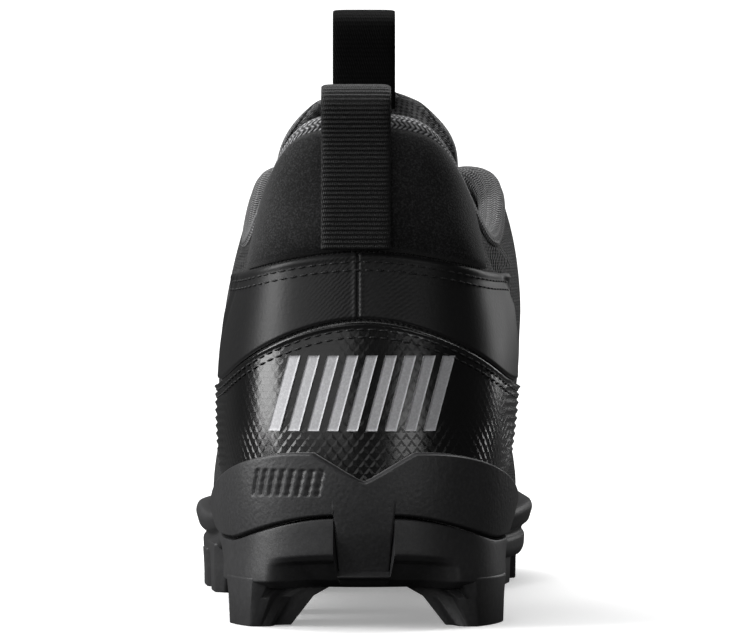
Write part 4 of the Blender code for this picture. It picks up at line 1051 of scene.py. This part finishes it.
# Cradle: a thick band straight outward from the upper, its rim rounded; its spine's foot tucks in and down
def makeCradle():
    half = np.concatenate([np.linspace(0, spineEdge - 0.012, cradleLines["spine"]),
                           np.linspace(spineEdge + 0.03, reaches["cradle"], cradleLines["wing"])])
    lines = bothSides(half)
    spine = np.abs(lines) < spineEdge - 0.005
    low = upAtHeight(lines, np.where(spine, heights["spineFoot"], flangeTop(lines) + 2 * last["gap"]))
    high = np.maximum(upAtHeight(lines, cradleTop(lines)), low + 0.03)
    around, up = overlayGrid(lines, low, high, cradleLines["rows"])
    lift = last["trimLift"] + depths["trim"] + last["gap"]
    plain = lifted(around, up, lift + depths["cradle"], True)
    height = plain[..., 2]
    shape = roundOver(nearBorder(plain), cradleLines["radius"])
    swell = np.sin(np.clip((height - heights["spineFoot"]) / cradleLines["swellHigh"], 0, 1) * np.pi)
    lower = smooth((cradleLines["tuckTop"] - height) / cradleLines["tuckFade"]) * (np.abs(around) < spineEdge)
    depth = depths["cradle"] * (0.15 + 0.85 * shape) + cradleLines["swell"] * swell * shape
    depth = depth - cradleLines["spineTuck"] * lower
    depth = depth - pressedBars["depth"] * barMask(-patternMap(plain)[..., 0], height)
    front = lifted(around, up, lift + depth, True)
    back = lifted(around, up, lift, True)
    for face in (front, back):
        face[..., 2] -= cradleLines["spineDrop"] * lower
    piece = shellPiece("cradle_wrap", front, back, cradleRubber, rimWidth=cradleLines["rim"])
    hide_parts("heel_cradle")


makeUpper()
makeLining()
makeCounter()
makeBand()
makePad()
makeCradle()
print("scene: upper, lining and heel layers ready")


# Plan outline of the sole: the upper's foot pushed outward
def soleOutline(lines, offset):
    return closedAt(ribRows, ribBends, lines)[:, 0:2] + np.reshape(offset, (-1, 1)) * outlineOut(lines)


soleLines = {"spine": 20, "side": 230, "inset": 3 * mm, "hollow": 1.2 * mm, "tuck": 12 * mm, "tuckEnd": 0.72,
             "tuckFade": 0.35, "heelWall": 8.4 * mm, "taper": 1.4 * mm, "taperStart": 1.9, "taperFade": 1.3,
             "stepStart": 2.2, "stepFade": 1.5, "soft": 1.1 * mm, "heelSoft": 0.45 * mm, "spineShare": 0.25}
# Shares across the bed and the underside where their rings lie, from the middle out
bedShares = (0.02, 0.15, 0.45, 0.75, 1.0)
# Rings of the wall below its lip: steps in from the margin, share of the height, share of the tuck
wallRings = ((1.2, 0.12, 0.85), (1.0, 0.36, 0.45), (1.75, 0.42, 0.16), (1.7, 0.50, 0.0))
# Rings of the lip: share of its reach, share of the height
lipRings = ((0.9, 0.60), (1.0, 0.86), (0.8, 1.0))
# Rings down the wall's inner side: share of its height above the bed
insideRings = (1.0, 0.6, 0.28, 0.0)


# Plate: rings from the underside out, up the wall, over the lip, down inside and across the bed. The wall is
# stepped along the forefoot, and plain at the heel, where it turns under in the middle
def makePlate():
    side = spineEdge + 0.03 + (toe - spineEdge - 0.03) * np.linspace(0, 1, soleLines["side"]) ** 1.15
    half = np.concatenate([np.linspace(0, spineEdge, soleLines["spine"]), side])
    lines = np.concatenate([half, lap - half[-2:0:-1]])
    middle = np.array([0.0, last["length"] / 2])
    place = heelDistance(lines)
    tuck = soleLines["tuck"] * (1 - smooth((place - soleLines["tuckEnd"]) / soleLines["tuckFade"]))
    stepped = smooth((place - soleLines["stepStart"]) / soleLines["stepFade"])[:, None]
    bottom = soleOutline(lines, last["margin"] - soleLines["inset"] - tuck)
    rings = []
    for share in bedShares:
        plan = middle + share * (bottom - middle)
        hollow = soleLines["hollow"] * (1 - share ** 2)
        rings.append(np.column_stack([plan, soleLevels(plan[:, 1])[0] + hollow]))
    top = flangeTop(lines)
    under = soleLevels(bottom[:, 1])[0]
    taper = smooth((place - soleLines["taperStart"]) / soleLines["taperFade"])
    plain = soleLines["heelWall"] - soleLines["taper"] * taper
    reach = last["gap"] + last["lip"] * np.where(place < spineEdge + 0.02, soleLines["spineShare"], 1.0)
    lean = lifted(lines, upAtHeight(lines, top), reach, True)[:, 0:2] - soleOutline(lines, plain)
    for step, rise, tucked in wallRings:
        flat = soleOutline(lines, plain - tucked * tuck) + rise * lean
        plan = flat + stepped * (soleOutline(lines, last["margin"] - step * last["step"]) - flat)
        rings.append(np.column_stack([plan, under + rise * (top - under)]))
    bed = soleLevels(closedAt(ribRows, ribBends, lines)[:, 1])[1]
    for lip, rise in lipRings:
        height = under + rise * (top - under)
        held = upAtHeight(lines, np.maximum(height, bed + last["gap"]))
        ring = lifted(lines, held, last["gap"] + lip * last["lip"], True)
        flat = soleOutline(lines, plain) + rise * lean
        ring[:, 0:2] = flat + stepped * (ring[:, 0:2] - flat)
        ring[:, 2] = height
        rings.append(ring)
    for rise in insideRings:
        height = bed + last["gap"] + rise * (top - bed - last["gap"])
        rings.append(lifted(lines, upAtHeight(lines, height), last["gap"], True))
    rings[-1][:, 2] = bed
    inner = soleOutline(lines, -last["wall"] - last["gap"])
    for share in bedShares[::-1]:
        plan = middle + share * (inner - middle)
        rings.append(np.column_stack([plan, soleLevels(plan[:, 1])[1]]))
    soft = soleLines["heelSoft"] + (soleLines["soft"] - soleLines["heelSoft"]) * stepped
    piece = ringPiece("sole_plate", softened(np.array(rings), soft), soleRubber, sharp=50)
    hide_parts("outsole")


# Studs: along, across, long, wide, flare, deepen, turn, as in the source
studRows = [
    (0.080, -0.87, 24, 17.5, 19, 4, 0), (0.080, 0.93, 24, 17.5, 19, 4, 0), (0.215, -0.84, 18, 10, 8, 8, 3),
    (0.215, 0.84, 18, 10, 8, 8, -3), (0.52, -0.93, 16, 10, 8, 8, 8), (0.615, -0.93, 17, 10, 8, 8, 6),
    (0.725, -0.92, 17, 10, 8, 8, -4), (0.83, -0.84, 16, 10, 8, 8, -18), (0.535, 0.85, 16, 10, 8, 8, -14),
    (0.64, 0.87, 17, 10, 8, 8, -10), (0.75, 0.87, 17, 10, 8, 8, 2), (0.85, 0.84, 16, 10, 8, 8, 16),
    (0.60, -0.06, 9, 13, 6, 6, 0), (0.71, 0.04, 9, 13, 6, 6, 0), (0.905, -0.30, 10, 13, 6, 6, 22),
    (0.912, 0.46, 10, 13, 6, 6, -20),
]
studLook = {"reach": 1.4, "bury": 0.45, "sunk": 1.5 * mm, "cut": 0.28, "lean": 0.45, "edge": 2.6 * mm,
            "bevel": 0.6 * mm, "bevelAngle": 24, "splits": 8, "blocks": 2, "block": 26 * mm, "recess": 2 * mm,
            "recessFade": 1.5 * mm, "recessSlope": 0.35}


# Plan points outside the sole's outline are moved onto it, along the outline's own normal
def fitInside(plan, offset):
    lines = np.linspace(0, lap, 961)[:-1]
    rim = soleOutline(lines, offset)
    nearest = np.argmin(np.linalg.norm(plan[:, None] - rim[None], axis=2), axis=1)
    out = outlineOut(lines)[nearest]
    over = np.einsum("ij,ij->i", plan - rim[nearest], out)
    return plan - np.maximum(over, 0)[:, None] * out


# One stud: eight-cornered rings, narrow at the floor and flaring inward to the plate, then bevelled. The
# inner halves of the two heel blocks are set in at the back
def makeStud(number, row):
    along, across, long, wide, flare, deepen, turn = row
    side = -1 if across < 0 else 1
    plan = soleOutline(np.linspace(0, lap, 481)[:-1], last["margin"] - soleLines["inset"])
    mine = plan[plan[:, 0] * side > 0]
    mine = mine[np.argsort(mine[:, 1])]
    x = across * np.interp(along * last["length"], mine[:, 1], np.abs(mine[:, 0]))
    y = along * last["length"]
    under = float(soleLevels(y)[0])
    foot = max(0.0, under - studLook["reach"] * last["stud"])
    edge = under + studLook["edge"]
    root = under + studLook["bury"] * last["plate"] + studLook["sunk"]
    cosine = math.cos(math.radians(turn))
    sine = math.sin(math.radians(turn))
    part = np.arange(studLook["splits"])[None, :, None] / studLook["splits"]
    waist = foot + 0.6 * (edge - foot)
    rings = []
    for height, extra, inset in ((foot, 0.0, 0.84), (waist, 0.35, 0.45), (edge, 0.9, 0.0), (root, 1.0, 0.70)):
        halfX = (wide + extra * flare) * mm / 2
        halfY = (long + extra * deepen) * mm / 2
        cut = 2 * studLook["cut"] * min(halfX, halfY)
        a = np.array([halfX, halfX - cut, cut - halfX, -halfX, -halfX, cut - halfX, halfX - cut, halfX])
        b = np.array([halfY - cut, halfY, halfY, halfY - cut, cut - halfY, -halfY, -halfY, cut - halfY])
        middle = x - side * studLook["lean"] * extra * flare * mm if abs(across) > 0.2 else x
        ring = np.column_stack([middle + a * cosine - b * sine, y + a * sine + b * cosine])
        ring = (ring[:, None] + part * (np.roll(ring, -1, 0) - ring)[:, None]).reshape(-1, 2)
        ring = fitInside(ring, soleLines["heelWall"] - inset * mm)
        if number < studLook["blocks"]:
            inner = smooth((studLook["block"] - np.abs(ring[:, 0])) / studLook["recessFade"])
            back = y + studLook["recess"] - studLook["recessSlope"] * np.abs(ring[:, 0])
            ring[:, 1] += inner * np.maximum(back - ring[:, 1], 0)
        rings.append(np.column_stack([ring, np.full(len(ring), height)]))
    piece = ringPiece("stud_%02d" % number, np.array(rings), soleRubber)
    bevel = piece.modifiers.new("edges", "BEVEL")
    bevel.width = studLook["bevel"]
    bevel.segments = 3
    bevel.limit_method = "ANGLE"
    bevel.angle_limit = math.radians(studLook["bevelAngle"])


insoleSizes = {"thick": 4 * mm, "cup": 1.2 * mm, "seat": 3.5, "soft": 1.0 * mm}


def makeInsole():
    lines = np.linspace(0, lap, 241)[:-1]
    middle = np.array([0.0, last["length"] / 2])
    rim = soleOutline(lines, -last["wall"] - 2 * last["gap"])
    seat = insoleSizes["seat"] * last["gap"]
    thin = insoleSizes["thick"] - insoleSizes["cup"]
    rings = []
    for share, lift in [(share, seat) for share in bedShares] + [(1.0, insoleSizes["thick"]), (0.88, thin),
                                                                 (0.45, thin), (0.02, thin)]:
        plan = middle + share * (rim - middle)
        rings.append(np.column_stack([plan, soleLevels(plan[:, 1])[1] + lift]))
    piece = ringPiece("insole_sheet", softened(np.array(rings), insoleSizes["soft"]), insoleCloth, sharp=50)
    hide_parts("insole")


makePlate()
for number, row in enumerate(studRows):
    makeStud(number, row)
makeInsole()
print("scene: sole, studs and insole ready")


eyestayLook = {"from": 6.0, "width": 15 * mm, "margin": 1.5 * mm, "columns": 300, "rows": 40,
               "depth": depths["trim"], "radius": 0.8 * mm}


def makeEyestay():
    lines = np.linspace(eyestayLook["from"], lap - eyestayLook["from"], eyestayLook["columns"])
    low = upAtLength(lines, eyestayLook["width"], True)
    high = upAtLength(lines, eyestayLook["margin"], True)
    around, up = overlayGrid(lines, low, high, eyestayLook["rows"])
    piece = overlayPiece("eyestay_shell", around, up, eyestayLook, plainGloss)
    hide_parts("eyestay")


toeLook = {"from": 10.0, "reach": 40 * mm, "start": 6 * mm, "columns": 260, "rows": 90,
           "depth": depths["trim"], "radius": 0.9 * mm}


# Upper edge of the toe cap, or a line below it: its reach swells from both ends towards the toe
def toeEdge(lines, drop=0.0):
    ends = np.sin(np.pi * (lines - toeLook["from"]) / (lap - 2 * toeLook["from"])) ** 0.7
    return upAtLength(lines, last["flange"] + toeLook["start"] + toeLook["reach"] * ends - drop, False)


def makeToeCap():
    lines = np.linspace(toeLook["from"] + 1e-4, lap - toeLook["from"] - 1e-4, toeLook["columns"])
    low = upAtHeight(lines, flangeTop(lines) + 3 * last["gap"])
    around, up = overlayGrid(lines, low, np.maximum(toeEdge(lines), low + 0.05), toeLook["rows"])
    piece = overlayPiece("toe_shell", around, up, toeLook, plainGloss)
    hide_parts("toe_cap")


tongueShape = {"tuck": 14 * mm, "gap": 1.9 * mm, "crown": 1.5 * mm, "top": 154 * mm, "shift": 1.2 * mm,
               "thick": 5 * mm, "rows": 190, "columns": 90, "round": 2.6 * mm}
# Free top of the tongue: rise, half width, lean, drop and curl, as in the source
tongueTop = np.array([(0.34, 0.76, 4.0, 13.0, 9.0), (0.68, 0.73, 8.5, 9.5, 8.0), (0.89, 0.58, 11.0, 5.5, 5.0),
                      (0.985, 0.40, 11.8, 2.6, 2.2), (1.02, 0.20, 12.1, 0.7, 0.5)])


# Tongue's face: curves under both sides of the throat, then rows that lean back and curl above the collar
def tongueGrid():
    across = np.linspace(-1, 1, 13)
    rows = []
    for place in np.linspace(10.1, 5.3, 8):
        held = tongueShape["tuck"] * (1 - 0.5 * smooth((6.4 - place) / 1.0))
        sides = []
        for around in (place, lap - place):
            ups = [upAtLength(around, held, True)[0], upAtLength(around, held / 2, True)[0], 1.0]
            sides.append([lifted(around, up, -float(wallAt(around, up)) - tongueShape["gap"]) for up in ups])
        lateral, medial = sides
        crest = (lateral[2] + medial[2]) / 2 + np.array([0, 0, tongueShape["crown"]])
        line = np.array(lateral + [crest] + medial[::-1])
        run = runAlong(line)
        rows.append(openCurve(run, line, (across + 1) / 2 * run[-1]))
    collar = rows[-1][6]
    for rise, half, lean, drop, curl in tongueTop:
        height = collar[2] + rise * (tongueShape["top"] - collar[2])
        rows.append(np.column_stack([tongueShape["shift"] + half * last["collarWidth"] / 2 * across,
                                     collar[1] - lean * mm - curl * mm * across ** 2,
                                     height - drop * mm * across ** 2]))
    return np.array(rows)


# Grid refined by splines down its rows and then across its columns
def refined(grid, rows, columns):
    count, wide = grid.shape[:2]
    tall = openCurve(np.arange(count, dtype=float), grid.reshape(count, -1), np.linspace(0, count - 1, rows))
    tall = tall.reshape(rows, wide, 3).transpose(1, 0, 2)
    places = (wide - 1) * endPacked(columns, 0.4)
    full = openCurve(np.arange(wide, dtype=float), tall.reshape(wide, -1), places)
    return full.reshape(columns, rows, 3).transpose(1, 0, 2)


# Tongue: padded inward from its face, its border rounded
def makeTongue():
    grid = refined(tongueGrid(), tongueShape["rows"], tongueShape["columns"])
    normal = unit(np.cross(np.gradient(grid, axis=1), np.gradient(grid, axis=0)))
    inward = np.where(normal[..., 2:3] > 0, -normal, normal)
    shape = roundOver(borderDistance(grid), tongueShape["round"])[..., None]
    thick = tongueShape["thick"]
    front = grid + inward * thick * (0.5 - 0.5 * shape) * 0.9
    back = grid + inward * thick * (0.52 + 0.48 * shape)
    piece = shellPiece("tongue_pad", front, back, tongueMesh)
    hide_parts("tongue")


loops = {"thick": 1.5 * mm, "heelWide": 19.5 * mm, "heelSide": -2.2 * mm, "heelTop": 151.5 * mm,
         "heelFoot": 105 * mm, "clear": 1.6 * mm, "tongueWide": 18.5 * mm, "tongueTop": 178 * mm,
         "tongueFoot": 143 * mm, "tongueClear": 2.4 * mm, "straight": 6 * mm, "step": 0.24 * mm,
         "wave": 0.34 * mm, "darkWave": 0.2, "around": 36}


# Pull loop: webbing carried along a path in the plane of the shoe's length
def strapPiece(name, path, width, side, material, wave):
    path = np.array(path)
    run = runAlong(path)
    fine = openCurve(run, path, np.arange(0, run[-1], loops["step"]))
    line = np.column_stack([np.full(len(fine), side), fine])
    across = np.broadcast_to(np.array([1.0, 0.0, 0.0]), line.shape)
    rise = np.cross(across, unit(np.gradient(line, axis=0)))
    piece = ribbonPiece(name, line, across, rise, width, loops["thick"], material, loops["around"], wave)
    return piece


# Half turn over the top of a loop, from one side to the other, as (y, z)
def halfTurn(start, end, top):
    radius = (end - start) / 2
    centre = top - abs(radius) - loops["thick"] / 2
    turn = np.linspace(0, np.pi, 9)
    return list(zip(start + radius - radius * np.cos(turn), centre + abs(radius) * np.sin(turn)))


def makeLoops():
    collar = last["collarHeight"]
    outside = last["trimLift"] + depths["pad"] + last["gap"] + loops["thick"] / 2
    levels = np.linspace(loops["heelFoot"], collar - 3 * mm, 5)
    rear = lifted(np.zeros(5), upAtHeight(np.zeros(5), levels), outside)[:, 1]
    inner = lifted(0.0, 1.0, -last["padding"] - loops["clear"] - loops["thick"] / 2)[1]
    path = list(zip(rear, levels)) + halfTurn(rear[-1], inner, loops["heelTop"])
    path += [(inner, collar - 2 * mm), (inner + 0.4 * mm, collar - 9 * mm)]
    heel = strapPiece("heel_pull", path, loops["heelWide"], loops["heelSide"], webbing, loops["wave"])
    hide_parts("heel_loop")
    middle = tongueGrid()[:, 6]
    top = tongueShape["top"]
    front = np.interp(loops["tongueFoot"], middle[:, 2], middle[:, 1]) + last["gap"] + loops["thick"]
    back = middle[-2, 1] - tongueShape["thick"] - loops["tongueClear"]
    turn = halfTurn(front, back, loops["tongueTop"])
    bend = turn[0][1] - loops["straight"]
    path = [(front, loops["tongueFoot"]), (front, top), (front, bend)] + turn
    path += [(back, bend), (back, top - 2 * mm), (back, top - 6 * mm)]
    wave = loops["wave"] * loops["darkWave"]
    # The tongue loop takes the darker webbing copy, whose colour is painted shade
    pull = strapPiece("tongue_pull", path, loops["tongueWide"], 0.0, shadedWebbing, wave)
    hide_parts("tongue_loop")


laceSizes = {"rows": 5, "wide": 6.5 * mm, "thick": 1.6 * mm, "seat": 0.52, "hole": 2.3 * mm, "dive": 3.2 * mm,
             "rise": 1.2 * mm, "under": -0.4 * mm, "over": 1.4 * mm, "points": 90, "around": 24,
             "pinch": 0.62, "pinchRun": 0.16}
eyelets = np.linspace(9.6, 6.35, laceSizes["rows"])


# One strand: up through an eyelet, over the tongue on a spline, and down through the other eyelet
def laceStrand(name, start, end, crown):
    lift = last["trimLift"] + depths["trim"] + laceSizes["thick"] * 0.75
    ends = []
    for around in (start, end):
        seat = upAtLength(around, eyestayLook["width"] * laceSizes["seat"], True)[0]
        edge = upAtLength(around, eyestayLook["margin"], True)[0]
        near = seat + 0.35 * (edge - seat)
        ends.append([lifted(around, seat, -laceSizes["dive"]), lifted(around, seat, 0.3 * mm),
                     lifted(around, near, lift), lifted(around, edge, lift)])
    middle = (ends[0][3] + ends[1][3]) / 2 + np.array([0, 0, crown])
    line = np.array(ends[0] + [middle] + ends[1][::-1])
    run = runAlong(line)
    count = laceSizes["points"]
    path = openCurve(run, line, np.linspace(0, run[-1], count))
    side = unit(np.cross(ends[1][1] - ends[0][1], upperNormal(start, 1.0) + upperNormal(end, 1.0)))
    side = np.broadcast_to(side, path.shape)
    rise = unit(np.cross(side, np.gradient(path, axis=0)))
    away = np.minimum(np.linspace(0, 1, count), np.linspace(1, 0, count))
    pinch = laceSizes["pinch"] + (1 - laceSizes["pinch"]) * smooth(away / laceSizes["pinchRun"])
    side = side * pinch[:, None]
    return ribbonPiece(name, path, side, rise, laceSizes["wide"], laceSizes["thick"], laceWeave,
                       laceSizes["around"])


def makeLaces():
    crown = tongueShape["crown"] + laceSizes["thick"] + laceSizes["rise"]
    pieces = [laceStrand("lace_bar", eyelets[0], lap - eyelets[0], crown)]
    for row in range(laceSizes["rows"] - 1):
        low, high = eyelets[row], eyelets[row + 1]
        pieces.append(laceStrand("lace_%d_a" % row, low, lap - high, crown + laceSizes["under"]))
        pieces.append(laceStrand("lace_%d_b" % row, lap - low, high, crown + laceSizes["over"]))
    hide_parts("lace")


# Turned section of an eyelet: share of the hole's radius, then more width and rise in millimetres
eyeletSection = [(0.05, 0.0, -0.2), (0.8, 0.0, -0.2), (1.0, 0.0, 0.15), (1.0, 0.35, 0.55), (1.0, 0.9, 0.50),
                 (1.0, 1.1, 0.0), (1.0, 0.9, -0.4), (0.05, 0.0, -0.5)]


# Eyelets: a rolled ring round each hole, and a dark floor in it, both made from one turned section
def makeEyelets():
    angle = np.arange(32)[:, None] * 2 * np.pi / 32
    for number, around in enumerate(np.concatenate([eyelets, lap - eyelets])):
        seat = upAtLength(around, eyestayLook["width"] * laceSizes["seat"], True)[0]
        centre = lifted(around, seat, last["trimLift"] + depths["trim"])
        normal = upperNormal(around, seat)
        first = unit(np.cross(normal, [0.0, 0.0, 1.0]))
        ring = np.cos(angle) * first + np.sin(angle) * np.cross(normal, first)
        rings = [centre + (share * laceSizes["hole"] + more * mm) * ring + rise * mm * normal
                 for share, more, rise in eyeletSection]
        piece = ringPiece("eyelet_%02d" % number, softened(np.array(rings), 0.25 * mm, 3), eyeletPaint)


# Lines for stitches on an overlay, with the face's own normals
def seamLines(lines, places, depth):
    lift = last["trimLift"] + depth
    return [(lifted(lines, up, lift, creased=True), upperNormal(lines, up)) for up in places]


seams = {"sunk": 0.10 * mm, "trimSunk": 0.05 * mm, "counter": (2.9 * mm, 5.0 * mm),
         "band": (3.0 * mm, 5.3 * mm), "toe": (1.8 * mm, 4.0 * mm), "outer": 1.8 * mm, "inner": 1.6 * mm,
         "heelReach": 3.2, "throatFrom": 6.05, "toeFrom": 10.35}


def makeStitches():
    wide = np.linspace(-seams["heelReach"], seams["heelReach"], 260)
    counter = [upAtHeight(wide, counterTop(wide) - drop) for drop in seams["counter"]]
    band = [upAtHeight(wide, bandTop(wide) - drop) for drop in seams["band"]]
    rows = seamLines(wide, counter, depths["trim"] - seams["sunk"])
    rows += seamLines(wide, band, depths["band"] - seams["sunk"])
    heel = stitchPiece("heel_stitches", rows, sewingThread)
    throat = np.linspace(seams["throatFrom"], lap - seams["throatFrom"], 500)
    edges = (eyestayLook["width"] - seams["outer"], eyestayLook["margin"] + seams["inner"])
    front = np.linspace(seams["toeFrom"], lap - seams["toeFrom"], 300)
    depth = depths["trim"] - seams["trimSunk"]
    rows = seamLines(throat, [upAtLength(throat, edge, True) for edge in edges], depth)
    rows += seamLines(front, [toeEdge(front, drop) for drop in seams["toe"]], depth)
    trim = stitchPiece("trim_stitches", rows, sewingThread)


bars = {"count": 9, "left": -25.6 * mm, "pitch": 5.2 * mm, "wide": 3.1 * mm, "low": 54.6 * mm,
        "high": 75.4 * mm, "slant": 5.4 * mm, "lift": 0.10 * mm, "sunk": 0.35 * mm, "rows": 26, "columns": 7}


# Place on the counter that lies at a given width and height, by five steps of Newton's rule
def placeAtWidth(x, z):
    around = x / (17 * mm)
    for _ in range(5):
        up = upAtHeight(around, z)
        here = upperFace(around, up)[..., 0]
        there = upperFace(around + 0.01, up)[..., 0]
        around = around - (here - x) / ((there - here) / 0.01)
    return around, upAtHeight(around, z)


# Pale slanted bars, one thin shell each, laid on the counter
def makeBars():
    v = np.linspace(0, 1, bars["rows"])[:, None]
    u = np.linspace(0, 1, bars["columns"])[None, :]
    z = np.broadcast_to(bars["low"] + (bars["high"] - bars["low"]) * v, (bars["rows"], bars["columns"]))
    lift = last["trimLift"] + depths["trim"]
    for number in range(bars["count"]):
        x = bars["left"] + number * bars["pitch"] + bars["slant"] * v + bars["wide"] * u
        around, up = placeAtWidth(x.ravel(), z.ravel())
        around, up = around.reshape(z.shape), up.reshape(z.shape)
        front = lifted(around, up, lift + bars["lift"], creased=True)
        back = lifted(around, up, lift - bars["sunk"], creased=True)
        piece = shellPiece("pale_bar_%d" % number, front, back, paleInk)


makeEyestay()
makeToeCap()
makeTongue()
makeLoops()
makeLaces()
makeEyelets()
makeStitches()
makeBars()
print("scene: tongue, loops, lace, trim and stitches ready")

# Studio: a pale floor that curves up behind the shoe
studio = {"floorTone": 0.92, "glow": 0.30, "bounceTone": 0.05, "world": 0.04, "front": -4.0, "bend": 1.4,
          "radius": 1.2, "top": 4.5, "half": 5.0}
# Lights: place and aim in metres, width and height, and power in watts. The key stands at the left, weaker
# ones fill from behind the camera, above and the right, and the last two light the wall
lights = {
    "key": ((-1.6, -0.35, 0.75), (0, -0.05, 0.08), (1.0, 1.4), 33.0),
    "side": ((-1.2, -2.0, 0.9), (0, -0.1, 0.08), (2.2, 1.5), 8.5),
    "top": ((-0.1, 0.2, 1.5), (0, 0, 0.1), (1.2, 0.8), 12.0),
    "rimRight": ((1.2, 1.4, 0.6), (0, 0, 0.08), (0.5, 1.0), 4.0),
    "fill": ((0.9, -1.8, 0.25), (0, 0, 0.03), (0.6, 0.4), 2.4),
    "backLeft": ((-1.4, 1.3, 2.6), (-0.3, 2.4, 0.6), (1.5, 1.5), 44.0),
    "backRight": ((1.4, 1.3, 2.6), (0.3, 2.4, 0.6), (1.5, 1.5), 44.0),
}


# Sweep: a profile line of floor, quarter circle and wall, carried straight across
def makeSweep():
    turn = np.linspace(0, np.pi / 2, 24)
    radius = studio["radius"]
    y = np.concatenate([[studio["front"], studio["bend"]], studio["bend"] + radius * np.sin(turn),
                        [studio["bend"] + radius]])
    z = np.concatenate([[0.0, 0.0], radius - radius * np.cos(turn), [studio["top"]]])
    x = np.linspace(-studio["half"], studio["half"], 3)
    points = np.stack(np.broadcast_arrays(x[None, :], y[:, None], z[:, None]), axis=-1)
    mesh = bpy.data.meshes.new("sweep")
    mesh.from_pydata(points.reshape(-1, 3).tolist(), [], gridFaces(len(y), 3)[0].tolist())
    mesh.shade_smooth()
    material = bpy.data.materials.new("palePaper")
    material.use_nodes = True
    tree = material.node_tree
    lit = addNode(tree, "ShaderNodeBsdfDiffuse", {"Color": grey(studio["floorTone"])}).outputs[0]
    glow = addNode(tree, "ShaderNodeEmission", {"Color": grey(1.0), "Strength": studio["glow"]}).outputs[0]
    seen = addNode(tree, "ShaderNodeAddShader", {0: lit, 1: glow}).outputs[0]
    bounced = addNode(tree, "ShaderNodeBsdfDiffuse", {"Color": grey(studio["bounceTone"])}).outputs[0]
    direct = addNode(tree, "ShaderNodeLightPath").outputs["Is Camera Ray"]
    paper = addNode(tree, "ShaderNodeMixShader", {0: direct, 1: bounced, 2: seen}).outputs[0]
    tree.links.new(paper, tree.nodes["Material Output"].inputs["Surface"])
    mesh.materials.append(material)
    placeObject("sweep", mesh)


def addLight(name, place, target, size, power):
    data = bpy.data.lights.new(name, "AREA")
    data.shape = "RECTANGLE"
    data.size, data.size_y = size
    data.energy = power
    light = placeObject(name, data)
    light.location = place
    aim = np.array(target) - np.array(place)
    tilt = math.atan2(math.hypot(aim[0], aim[1]), -aim[2])
    light.rotation_euler = (tilt, 0, math.atan2(aim[0], -aim[1]) + math.pi)


makeSweep()
for name, (place, target, size, power) in lights.items():
    addLight(name, place, target, size, power)
world = bpy.data.worlds.new("studio")
bpy.context.scene.world = world
world.use_nodes = True
world.node_tree.nodes["Background"].inputs[0].default_value = (1, 1, 1, 1)
world.node_tree.nodes["Background"].inputs[1].default_value = studio["world"]

print("scene: studio ready")
